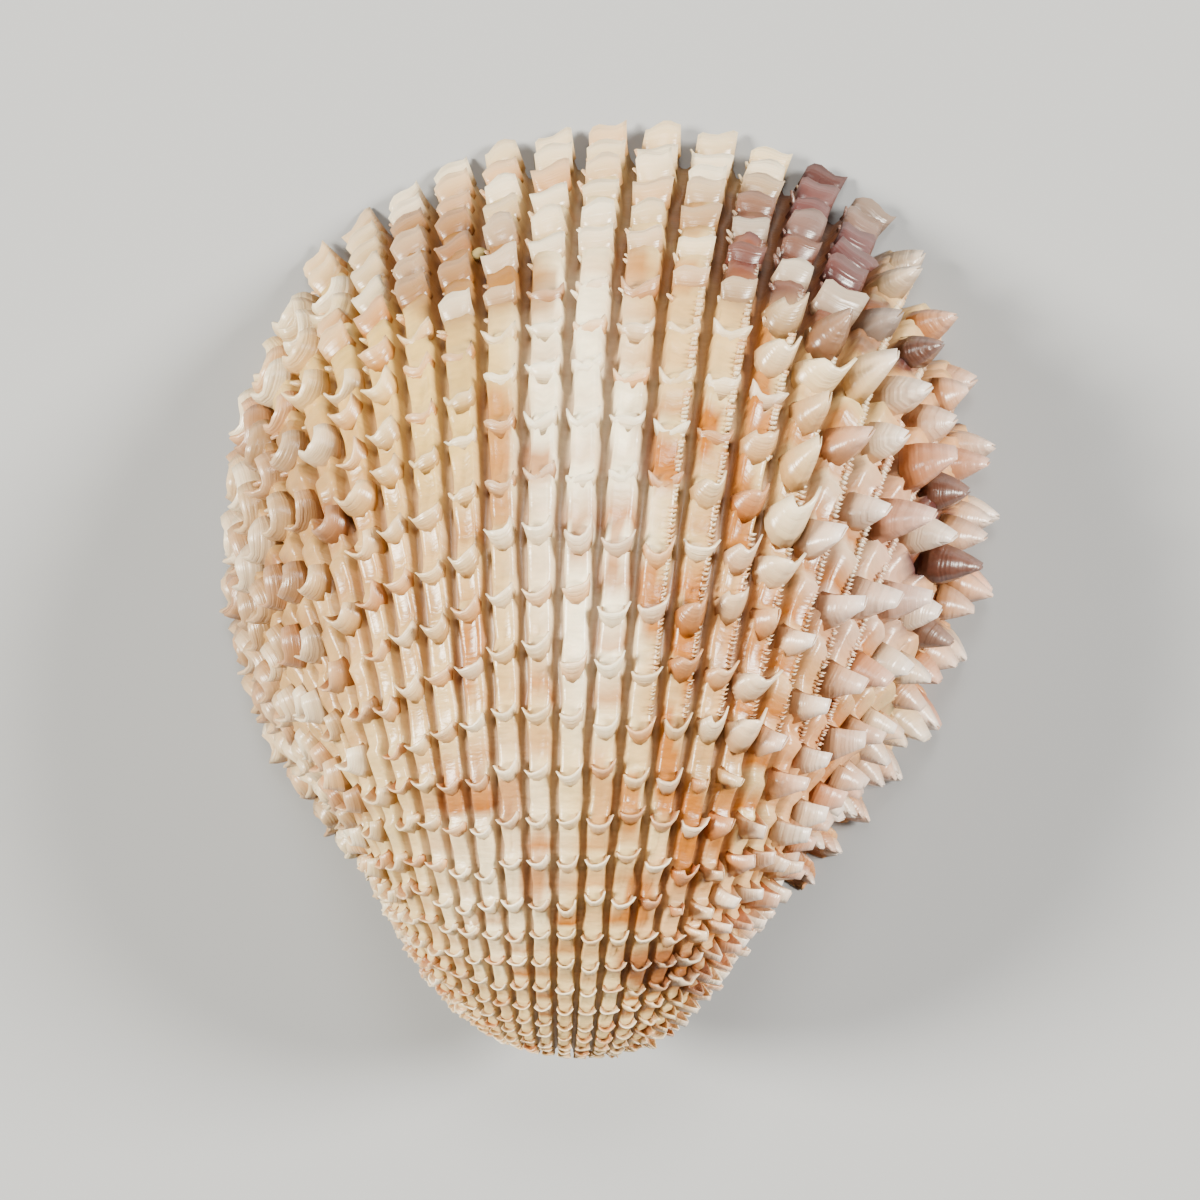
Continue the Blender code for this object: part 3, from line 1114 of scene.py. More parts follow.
    def build(self, finishes: Sequence[bpy.types.Material]) -> bpy.types.Object:
        """Build the wall and coil it by Geometry Nodes.

        Args:
            finishes: Materials of the outside and of the lining.

        Returns:
            The finished piece.
        """
        planes, lifts, turns, ribs, hollows = self.sheet()
        rows, columns = turns.shape
        points = np.concatenate([planes.reshape(-1, 2), lifts.reshape(-1, 1)], axis=1)
        beak = rows * columns
        end = beak + 1
        middle = planes[-1].mean(axis=0)
        points = np.concatenate([points, [[0.0, 0.0, 0.0], [middle[0], middle[1], 0.0]]])
        all_turns = np.append(turns.ravel(), [self.coil.beak_angle, self.hollow_end])
        all_ribs = np.append(ribs.ravel(), [self.coil.rib_count / 2.0] * 2)
        index = np.arange(rows * columns).reshape(rows, columns)
        after = np.roll(index, -1, axis=1)
        quads = np.stack([index[:-1], after[:-1], after[1:], index[1:]], axis=-1).reshape(-1, 4)
        fans = [[beak, after[0, c], index[0, c]] for c in range(columns)]
        fans += [[end, index[-1, c], after[-1, c]] for c in range(columns)]
        mesh = bpy.data.meshes.new("valve_wall")
        mesh.from_pydata((points * MM).tolist(), [], quads.tolist() + fans)
        rim_row = rows - self.hollow_rows - len(self.rim_steps) + 1
        lining = np.zeros(len(mesh.polygons), dtype=bool)
        lining[(rim_row * columns):len(quads)] = True
        lining[len(quads) + columns:] = True
        store(mesh, "turn", "FLOAT", all_turns)
        store(mesh, "rib", "FLOAT", all_ribs)
        store(mesh, "lining", "BOOLEAN", lining, "FACE")
        places = self.coil.place(points[:, :2], all_turns)
        hollow = np.append(hollows.ravel(), [0.0, 0.0])
        store(mesh, "paint", "FLOAT_COLOR", Paint.lay(places, all_ribs, all_turns, hollow=hollow))
        height = np.concatenate([self.rib_height(all_ribs[:-2], all_turns[:-2]), [1.0, 1.0]])
        store(mesh, "crest", "FLOAT", height)
        piece = link(bpy.data.objects.new("valve_wall", mesh))
        self.coil_up(piece, finishes)
        settle(piece)
        piece.data.shade_smooth()
        adopt(piece)
        return piece

    def hinge_line(self) -> np.ndarray:
        """Points along the middle of the hinge plate, in millimetres."""
        outer = self.outer_row(np.zeros(len(self.columns())), self.rim_ramp)[-self.hinge_columns:]
        inner = self.inner_row(0.0)[-self.hinge_columns:]
        middle = (1.0 - self.plate_middle) * outer + self.plate_middle * inner
        return self.coil.place(middle, np.zeros(self.hinge_columns))

    def coil_up(self, piece: bpy.types.Object, finishes: Sequence[bpy.types.Material]) -> None:
        """Run the coil tree on the flat sheet."""
        modifier = piece.modifiers.new("coil", "NODES")
        builder = CoilTree()
        modifier.node_group = builder.build()
        for name, field_name in builder.inputs:
            set_input(modifier, name, getattr(self.coil, field_name))
        pole_x, pole_y = self.coil.pole
        set_input(modifier, "Pole height", self.coil.pole_height * MM)
        set_input(modifier, "Pole", (pole_x * MM, pole_y * MM, 0.0))
        set_input(modifier, "Outside", finishes[0])
        set_input(modifier, "Lining", finishes[1])


class ScaleForm(Enum):
    """The kinds of scale, by where on the valve they grew."""

    PLATE = "plate"
    WORN = "worn"
    FRONT_LIP = "front_lip"
    HIND_LIP = "hind_lip"
    CLAW = "claw"
    LOBE = "lobe"
    SPINE = "spine"
    FRILL = "frill"
    TOOTH = "tooth"


SCALE_VARIETY = {
    "base_width": 0.05,
    "tip_width": 0.14,
    "height": 0.20,
    "lean": 0.28,
    "hollow": 0.18,
    "edge_drop": 0.30,
    "thickness": 0.15,
    "front_horn": 0.60,
    "hind_horn": 0.60,
    "sweep": 0.45,
    "side_lean": 0.50,
}
PHASE_STEP = 2.4


@dataclass(frozen=True)
class Scale:
    """One hollow scale, a thick hood that opens towards the rim; sizes are parts of the rib pitch."""

    base_width: float
    tip_width: float
    height: float
    lean: float
    hollow: float
    edge_drop: float
    thickness: float
    skirt: float
    front_horn: float = 0.0
    hind_horn: float = 0.0
    sweep: float = 0.0
    side_lean: float = 0.0
    taper: float = 0.45
    narrowing: float = 1.1
    ruffle: float = 0.0
    phase: float = 0.0
    sink: float = 0.12
    across_steps: int = 6
    up_steps: int = 4
    bow: float = 1.25
    side_lean_power: float = 1.5
    horn_power: int = 3
    edge_power: float = 2.2
    lean_power: float = 1.4
    closing: float = 0.25
    ruffle_waves: tuple[float, float] = (3.9, 4.6)
    ruffle_forward: float = 0.12
    edge_thinning: float = 0.30
    skirt_sides: float = 0.8
    front_skirt: float = 0.25
    root_power: int = 4

    def varied(self, variant: int) -> "Scale":
        """Give this scale with small changes of its own."""
        keys = np.array([variant])
        changes = {
            name: getattr(self, name) * (1.0 + amount * float(hash_noise(keys, seed=seed)[0]))
            for seed, (name, amount) in enumerate(SCALE_VARIETY.items())
        }
        return replace(self, phase=PHASE_STEP * variant, **changes)

    def surface(self, across: np.ndarray, up: np.ndarray) -> np.ndarray:
        """Give the middle surface of the hood.

        Args:
            across: From -1 at its front side to 1 at its hind side.
            up: From 0 at its root to 1 at its free edge.

        Returns:
            Points with X across, Y towards the rim and Z up.
        """
        width = self.base_width + (self.tip_width - self.base_width) * up**self.narrowing
        x = 0.5 * width * np.sin(self.bow * across) / math.sin(self.bow)
        x = x + self.side_lean * up**self.side_lean_power
        hind, front = np.clip(across, 0.0, 1.0), np.clip(-across, 0.0, 1.0)
        horns = self.hind_horn * hind**self.horn_power + self.front_horn * front**self.horn_power
        edge = 1.0 - self.edge_drop * np.abs(across) ** self.edge_power + horns
        edge_wave, face_wave = (wave * across + self.phase for wave in self.ruffle_waves)
        edge = edge + self.ruffle * np.sin(edge_wave) * up
        z = self.height * edge * up
        y = -self.hollow * (1.0 - across**2) * (1.0 - self.closing * up)
        y = y + self.lean * edge * up**self.lean_power
        y = y + self.sweep * across * (0.5 + 0.5 * up)
        y = y + self.ruffle_forward * self.ruffle * np.cos(face_wave) * up
        return np.stack([x, y, z], axis=-1)

    def mesh(self, name: str) -> bpy.types.Mesh:
        """Build the hood as one closed shape.

        Args:
            name: The mesh's name.

        Returns:
            The mesh, with the height on the scale in the attribute "tip" and its hollow side in "inside".
        """
        across, up = np.meshgrid(
            np.linspace(-1.0, 1.0, self.across_steps + 1), np.linspace(0.0, 1.0, self.up_steps + 1)
        )
        middle = self.surface(across, up)
        step = 0.02
        side = self.surface(across + step, up) - self.surface(across - step, up)
        rise = self.surface(across, up + step) - self.surface(across, np.maximum(up - step, 0.0))
        normal = np.cross(side, rise)
        normal /= np.linalg.norm(normal, axis=-1, keepdims=True)
        thinning = (1.0 - self.taper * up**2) * (1.0 - self.edge_thinning * across**4)
        half = 0.5 * self.thickness * thinning[..., None]
        back = middle + normal * half
        front = middle - normal * half
        root = (1.0 - up) ** self.root_power
        back[..., 1] -= self.skirt * (1.0 - up) ** 2 * (1.0 - self.skirt_sides * across**2)
        back[..., 2] -= self.sink * root
        front[..., 2] -= self.sink * root
        front[..., 1] += self.front_skirt * self.skirt * root
        rows, columns = across.shape
        grid = np.arange(rows * columns).reshape(rows, columns)
        shift = rows * columns
        quads = np.stack([grid[:-1, :-1], grid[:-1, 1:], grid[1:, 1:], grid[1:, :-1]], axis=-1).reshape(-1, 4)
        faces = quads.tolist() + (quads[:, ::-1] + shift).tolist()
        loop = [*grid[0, ::-1], *grid[1:-1, 0], *grid[-1], *grid[1:-1, -1][::-1]]
        faces += [(a, b, b + shift, a + shift) for a, b in zip(loop, loop[1:] + loop[:1])]
        mesh = bpy.data.meshes.new(name)
        mesh.from_pydata(np.concatenate([back.reshape(-1, 3), front.reshape(-1, 3)]).tolist(), [], faces)
        store(mesh, "tip", "FLOAT", np.tile(up.ravel(), 2))
        store(mesh, "inside", "FLOAT", np.repeat([0.0, 1.0], shift))
        face_outward(mesh)
        mesh.shade_smooth()
        return mesh


def face_outward(mesh: bpy.types.Mesh) -> None:
    """Turn all faces of a closed mesh outward."""
    cleaner = bmesh.new()
    cleaner.from_mesh(mesh)
    bmesh.ops.recalc_face_normals(cleaner, faces=cleaner.faces[:])
    cleaner.to_mesh(mesh)
    cleaner.free()


SCALE_SHAPES: dict[ScaleForm, Scale] = {
    ScaleForm.PLATE: Scale(
        base_width=0.65, tip_width=0.69, height=0.22, lean=0.40, hollow=0.07, edge_drop=0.16,
        thickness=0.13, skirt=0.16, hind_horn=0.04, sweep=0.12, ruffle=0.10, up_steps=3,
    ),
    ScaleForm.WORN: Scale(
        base_width=0.66, tip_width=0.70, height=0.09, lean=0.06, hollow=0.16, edge_drop=0.15,
        thickness=0.12, skirt=0.24, front_horn=0.6, hind_horn=0.4, sweep=0.06, ruffle=0.5,
        up_steps=2,
    ),
    ScaleForm.FRONT_LIP: Scale(
        base_width=0.66, tip_width=0.74, height=0.27, lean=0.14, hollow=0.36, edge_drop=0.40,
        thickness=0.11, skirt=0.14, front_horn=0.30, sweep=0.09, side_lean=-0.03, ruffle=0.12,
    ),
    ScaleForm.HIND_LIP: Scale(
        base_width=0.66, tip_width=0.74, height=0.27, lean=0.12, hollow=0.38, edge_drop=0.42,
        thickness=0.11, skirt=0.14, hind_horn=0.36, sweep=0.09, side_lean=0.03, ruffle=0.12,
    ),
    ScaleForm.CLAW: Scale(
        base_width=0.72, tip_width=0.46, height=0.42, lean=0.24, hollow=0.34, edge_drop=0.34,
        thickness=0.12, skirt=0.26, hind_horn=0.50, sweep=0.08, side_lean=0.10, ruffle=0.12,
    ),
    ScaleForm.LOBE: Scale(
        base_width=0.90, tip_width=0.58, height=0.38, lean=0.02, hollow=0.42, edge_drop=0.36,
        thickness=0.12, skirt=0.26, front_horn=0.34, sweep=0.16, side_lean=-0.05, taper=0.5,
        narrowing=2.2, ruffle=0.10,
    ),
    ScaleForm.SPINE: Scale(
        base_width=0.56, tip_width=0.04, height=0.47, lean=0.10, hollow=0.34, edge_drop=0.05,
        thickness=0.10, skirt=0.20, side_lean=0.06, taper=0.7, narrowing=1.2, across_steps=4,
    ),
    ScaleForm.FRILL: Scale(
        base_width=0.24, tip_width=0.03, height=0.17, lean=0.04, hollow=0.04, edge_drop=0.0,
        thickness=0.05, skirt=0.05, sink=0.14, across_steps=2, up_steps=2,
    ),
    ScaleForm.TOOTH: Scale(
        base_width=0.17, tip_width=0.13, height=0.070, lean=0.02, hollow=0.03, edge_drop=0.3,
        thickness=0.05, skirt=0.02, sink=0.06, across_steps=2, up_steps=1,
    ),
}


class ScaleTree:
    """Geometry Nodes tree that sets one of a collection's scales on each point of a mesh."""

    def build(self) -> bpy.types.NodeTree:
        """Write the tree.

        Returns:
            The tree, whose inputs are the forms and the material.
        """
        tree = bpy.data.node_groups.new("grow_scales", "GeometryNodeTree")
        face = tree.interface
        face.new_socket("Geometry", in_out="INPUT", socket_type="NodeSocketGeometry")
        face.new_socket("Forms", in_out="INPUT", socket_type="NodeSocketCollection")
        face.new_socket("Finish", in_out="INPUT", socket_type="NodeSocketMaterial")
        face.new_socket("Geometry", in_out="OUTPUT", socket_type="NodeSocketGeometry")
        nodes = NodeTree(tree)
        given = nodes.add("NodeGroupInput").outputs
        forms = nodes.add("GeometryNodeCollectionInfo", {"Collection": given["Forms"]})
        forms.inputs["Separate Children"].default_value = True
        forms.inputs["Reset Children"].default_value = True
        aim = nodes.add("FunctionNodeEulerToRotation", {0: nodes.stored("aim", "FLOAT_VECTOR")}).outputs[0]
        grown = nodes.add(
            "GeometryNodeInstanceOnPoints",
            {
                "Points": given["Geometry"],
                "Instance": forms.outputs[0],
                "Pick Instance": True,
                "Instance Index": nodes.stored("form", "INT"),
                "Rotation": aim,
                "Scale": nodes.stored("girth", "FLOAT_VECTOR"),
            },
        )
        whole = nodes.add("GeometryNodeRealizeInstances", {"Geometry": grown.outputs[0]})
        finish = {"Geometry": whole.outputs[0], "Material": given["Finish"]}
        dressed = nodes.add("GeometryNodeSetMaterial", finish)
        nodes.add("NodeGroupOutput", {0: dressed.outputs[0]})
        return tree


@dataclass(frozen=True)
class Planting:
    """Where scales stand and what each of them is, one row for each."""

    ribs: np.ndarray
    turns: np.ndarray
    forms: list[ScaleForm]
    girth: np.ndarray
    curl: np.ndarray
    yaw: np.ndarray
    chance: np.ndarray


class Plot:
    """A part of the valve that is planted with scales of one layout."""

    name: str
    depth: float
    color_strength: float
    tip_color: str = "f2e4cf"
    tip_share: float = 0.6

    def plant(self) -> Planting:
        """Choose the places and forms."""
        raise NotImplementedError

    @staticmethod
    def spread(first_rib: int, last_rib: int, steps: int) -> tuple[np.ndarray, np.ndarray]:
        """Pair every rib of a run with every step along it.

        Args:
            first_rib: First rib of the run.
            last_rib: Last rib of the run.
            steps: Number of steps on each rib.

        Returns:
            The ribs and the steps, one for each pair.
        """
        ribs = np.arange(first_rib, last_rib + 1, dtype=float)
        grids = np.meshgrid(ribs, np.arange(steps, dtype=float))
        return grids[0].ravel(), grids[1].ravel()

    def build(self, forms: "FormShelf", finish: bpy.types.Material) -> None:
        """Grow the scales by Geometry Nodes, one on each point of a mesh.

        Args:
            forms: The shelf with the variants of each form.
            finish: The scales' material.
        """
        planting = self.plant()
        seats = COIL.seats(planting.ribs, planting.turns, self.depth)
        mesh = bpy.data.meshes.new(self.name)
        mesh.from_pydata((seats.points * MM).tolist(), [], [])
        store(mesh, "aim", "FLOAT_VECTOR", seats.aims(planting.curl, planting.yaw))
        store(mesh, "girth", "FLOAT_VECTOR", planting.girth * seats.width[:, None] * MM)
        picks = [forms.pick(form, chance) for form, chance in zip(planting.forms, planting.chance)]
        store(mesh, "form", "INT", np.array(picks, dtype=np.int32))
        store(mesh, "rib", "FLOAT", planting.ribs)
        store(mesh, "turn", "FLOAT", planting.turns)
        paint = Paint.lay(seats.points, planting.ribs, planting.turns, self.color_strength)
        paint = Paint.scatter(paint, planting.chance)
        store(mesh, "paint", "FLOAT_COLOR", paint)
        pale = self.tip_share * Paint.lightness(paint)
        tip = np.array([*tone(self.tip_color), 1.0])
        store(mesh, "tip_paint", "FLOAT_COLOR", pale * tip + (1.0 - pale) * paint)
        # On the scales, crest 1 keeps them glossy and free of the painted groove shade, and grown lets the
        # finish paint shade at their roots.
        for name in ("crest", "grown"):
            store(mesh, name, "FLOAT", np.ones(len(planting.ribs)))
        piece = link(bpy.data.objects.new(self.name, mesh))
        modifier = piece.modifiers.new("scales", "NODES")
        modifier.node_group = ScaleTree().build()
        set_input(modifier, "Forms", forms.collection)
        set_input(modifier, "Finish", finish)
        settle(piece)
        self.rest_on_ground(piece.data)
        piece.data.shade_smooth()
        adopt(piece)

    @staticmethod
    def rest_on_ground(mesh: bpy.types.Mesh, soft: float = 0.5 * MM) -> None:
        """Press what would reach under the ground flat against it.

        Args:
            mesh: The grown scales.
            soft: Height at which the pressing starts.
        """
        places = np.empty(len(mesh.vertices) * 3)
        mesh.vertices.foreach_get("co", places)
        places = places.reshape(-1, 3)
        low = places[:, 2] < soft
        places[low, 2] = soft * np.exp(places[low, 2] / soft - 1.0)
        mesh.vertices.foreach_set("co", places.ravel())
        mesh.update()


@dataclass
class ScaleRows(Plot):
    """Rows of scales on a run of neighbouring ribs; angles in degrees about the pole."""

    name: str
    first_rib: int
    last_rib: int
    last_turn: float = 3.25
    depth: float = 0.20
    color_strength: float = 0.9
    tip_color: str = "f2e4cf"
    tip_share: float = 0.6
    spine_angle: float = 28.0
    spine_advance: float = 3.0
    spine_advance_until: float = 1.5
    lobe_angle: float = -20.0
    claw_angle: float = 17.0
    plate_turn: float = 0.42
    worn_turn: float = 0.78
    worn_angle: float = -14.0
    angle_blur: float = 4.0
    lobe_blur: float = 3.0
    plate_blur: float = 0.05
    worn_blur: float = 0.06
    sparse_angles: tuple[float, float] = (-24.0, 25.0)
    sparse_turns: tuple[float, float] = (0.2, 1.45)
    nearest_turn: float = 0.012
    growth_scatter: float = 0.14
    shy_growth: tuple[float, ...] = (0.55, 0.75, 1.0)
    crowd_growth: float = 0.28
    crowd_angles: tuple[float, float] = (24.0, 52.0)
    crowd_turns: tuple[float, float] = (0.15, 0.4)
    wildness: float = 2.4
    lobe_curl: float = 0.22
    rim_curl: float = 0.50
    lobe_rim_curl: float = 0.35
    rim_curl_fade: float = 0.07
    scatter: float = 0.10

    def form_at(self, angle: float, turn: float, chance: float) -> ScaleForm:
        """Choose the form of scale for a place.

        Args:
            angle: Degrees about the pole.
            turn: Turn of the row.
            chance: Scatter between -1 and 1 that softens the borders.

        Returns:
            The form.
        """
        advance = self.spine_advance * min(turn, self.spine_advance_until)
        if angle + self.angle_blur * chance > self.spine_angle - advance:
            return ScaleForm.SPINE
        if angle + self.lobe_blur * chance < self.lobe_angle:
            return ScaleForm.LOBE
        if turn + self.plate_blur * chance < self.plate_turn:
            return ScaleForm.PLATE
        if angle + self.angle_blur * chance > self.claw_angle:
            return ScaleForm.CLAW
        if turn + self.worn_blur * chance < self.worn_turn and angle > self.worn_angle:
            return ScaleForm.WORN
        return ScaleForm.FRONT_LIP if angle < 0.0 else ScaleForm.HIND_LIP

    def kept(self, ribs: np.ndarray, rows: np.ndarray, turns: np.ndarray) -> np.ndarray:
        """Leave out every other scale where the rows stand apart at both ends.

        Args:
            ribs: Numbers of the ribs.
            rows: Numbers of the rows.
            turns: Their turns.

        Returns:
            True where a scale grows.
        """
        angles = COIL.rib_angle(ribs)
        front = (angles < self.sparse_angles[0]) & (turns > self.sparse_turns[0])
        sparse = ((angles > self.sparse_angles[1]) | front) & (turns < self.sparse_turns[1])
        return (turns < self.last_turn) & ~(sparse & ((ribs + rows) % 2.0 > 0.5))

    def growth(self, ribs: np.ndarray, rows: np.ndarray, turns: np.ndarray, angles: np.ndarray) -> np.ndarray:
        """Give the size of each scale, smaller on the outermost ribs and wider where spines crowd.

        Args:
            ribs: Numbers of the ribs.
            rows: Numbers of the rows.
            turns: Their turns.
            angles: Their angles.

        Returns:
            Sizes across, towards the rim and up.
        """
        growth = 1.0 + self.growth_scatter * hash_noise(ribs, rows, seed=9)
        edge = np.minimum(ribs, COIL.rib_count - 1 - ribs)
        shy = np.interp(edge, np.arange(len(self.shy_growth)), self.shy_growth)
        low, high = self.crowd_angles
        crowd = self.crowd_growth * smooth_step(turns, *self.crowd_turns) * ((angles > low) & (angles < high))
        crowd = 1.0 + crowd
        return np.stack([shy * crowd, shy * growth * crowd, shy * growth * crowd], axis=1)

    def plant(self) -> Planting:
        """Plant every rib of the run in every row."""
        ribs, rows = self.spread(self.first_rib, self.last_rib, len(ORNAMENT.rows) - 1)
        turns = ORNAMENT.scale_turn(ribs, rows)
        keep = self.kept(ribs, rows, turns)
        ribs, rows, turns = ribs[keep], rows[keep], np.maximum(turns[keep], self.nearest_turn)
        chance = hash_noise(ribs, rows, seed=8)
        angles = COIL.rib_angle(ribs + 0.5)
        forms = [self.form_at(*place) for place in zip(angles, turns, chance)]
        lobes = angles < self.lobe_angle
        steep = np.where(lobes, self.lobe_rim_curl, self.rim_curl)
        scatter = self.scatter * np.where((angles > self.crowd_angles[0]) | lobes, self.wildness, 1.0)
        curl = np.where(lobes, self.lobe_curl, 0.0) + steep * np.exp(-turns / self.rim_curl_fade)
        curl = curl + scatter * hash_noise(ribs, rows, seed=10)
        yaw = scatter * hash_noise(ribs, rows, seed=13)
        return Planting(ribs + 0.5, turns, forms, self.growth(ribs, rows, turns, angles), curl, yaw, chance)


@dataclass
class RibTeeth(Plot):
    """Close-set teeth along the hind edge of the ribs behind the middle."""

    name: str = "rib_teeth"
    first_rib: int = 22
    last_rib: int = 28
    first_turn: float = 0.05
    last_turn: float = 1.15
    spacing: float = 0.0086
    shake: float = 0.3
    depth: float = 0.225
    place_on_rib: float = 0.77
    color_strength: float = 0.35
    worn_away: float = -0.75
    worn_cell: tuple[float, float] = (1.7, 5.0)
    growth_scatter: float = 0.25
    yaw: float = 0.35
    yaw_scatter: float = 0.25

    def plant(self) -> Planting:
        """Plant one line of teeth on each rib."""
        ribs, steps = self.spread(self.first_rib, self.last_rib, int(self.last_turn / self.spacing))
        chance = hash_noise(ribs, steps, seed=40)
        turns = self.first_turn + (steps + self.shake * chance) * self.spacing
        cell_rib, cell_turn = self.worn_cell
        keep = soft_noise(ribs * cell_rib, turns * cell_turn, seed=41) > self.worn_away
        growth = 1.0 + self.growth_scatter * chance
        girth = np.stack([growth, np.ones(len(chance)), growth], axis=1)
        yaw = self.yaw + self.yaw_scatter * hash_noise(ribs, steps, seed=42)
        forms = [ScaleForm.TOOTH] * int(keep.sum())
        curl = np.zeros(len(forms))
        places = ribs + self.place_on_rib
        return Planting(places[keep], turns[keep], forms, girth[keep], curl, yaw[keep], chance[keep])


@dataclass
class FlankFrills(Plot):
    """Small pointed flakes on the front flank of the middle ribs near the rim."""

    name: str = "flank_frills"
    first_rib: int = 9
    last_rib: int = 25
    last_turn: float = 0.42
    depth: float = 0.29
    place_on_rib: float = 0.20
    color_strength: float = 0.4
    missing: float = -0.35
    lag: float = 0.012
    shake: float = 0.02
    nearest_turn: float = 0.02
    size: float = 0.75
    size_scatter: float = 0.45
    height_scatter: float = 0.5
    yaw: float = 1.25
    yaw_scatter: float = 0.5
    curl: float = -0.55

    def plant(self) -> Planting:
        """Plant one or two flakes beside each plate."""
        steps = 2 * int(np.sum(ORNAMENT.rows < self.last_turn))
        ribs, halves = self.spread(self.first_rib, self.last_rib, steps)
        chance = hash_noise(ribs, halves, seed=50)
        keep = chance > self.missing
        ribs, halves, chance = ribs[keep], halves[keep], chance[keep]
        turns = ORNAMENT.scale_turn(ribs, np.floor(halves / 2.0)) + self.shake * chance + self.lag
        size = self.size + self.size_scatter * np.abs(chance)
        height = size * (1.0 + self.height_scatter * hash_noise(ribs, halves, seed=52))
        yaw = self.yaw + self.yaw_scatter * hash_noise(ribs, halves, seed=51)
        curl = np.full(len(turns), self.curl)
        forms = [ScaleForm.FRILL] * len(turns)
        girth = np.stack([size, size, height], axis=1)
        turns = np.maximum(turns, self.nearest_turn)
        return Planting(ribs + self.place_on_rib, turns, forms, girth, curl, yaw, chance)


class FormShelf:
    """Collection that holds the variants of every form of scale while they are planted."""

    variants: int = 6
    shuffle: float = 977.0

    def __init__(self) -> None:
        """Make the variants of every form."""
        self.collection = bpy.data.collections.new("scale_forms")
        self.places: dict[ScaleForm, list[int]] = {form: [] for form in ScaleForm}
        count = 0
        for form, shape in SCALE_SHAPES.items():
            for _ in range(self.variants):
                name = f"form_{count:02d}_{form.value}"
                mesh = shape.varied(count + 1).mesh(name)
                self.collection.objects.link(bpy.data.objects.new(name, mesh))
                self.places[form].append(count)
                count += 1

    def pick(self, form: ScaleForm, chance: float) -> int:
        """Pick one variant of a form.

        Args:
            form: The form.
            chance: Scatter between -1 and 1.

        Returns:
            Its number in the collection.
        """
        places = self.places[form]
        return places[int((chance * 0.5 + 0.5) * self.shuffle) % len(places)]

    def clear(self) -> None:
        """Remove the variants once everything is planted."""
        for form in list(self.collection.objects):
            bpy.data.objects.remove(form)
        bpy.data.collections.remove(self.collection)


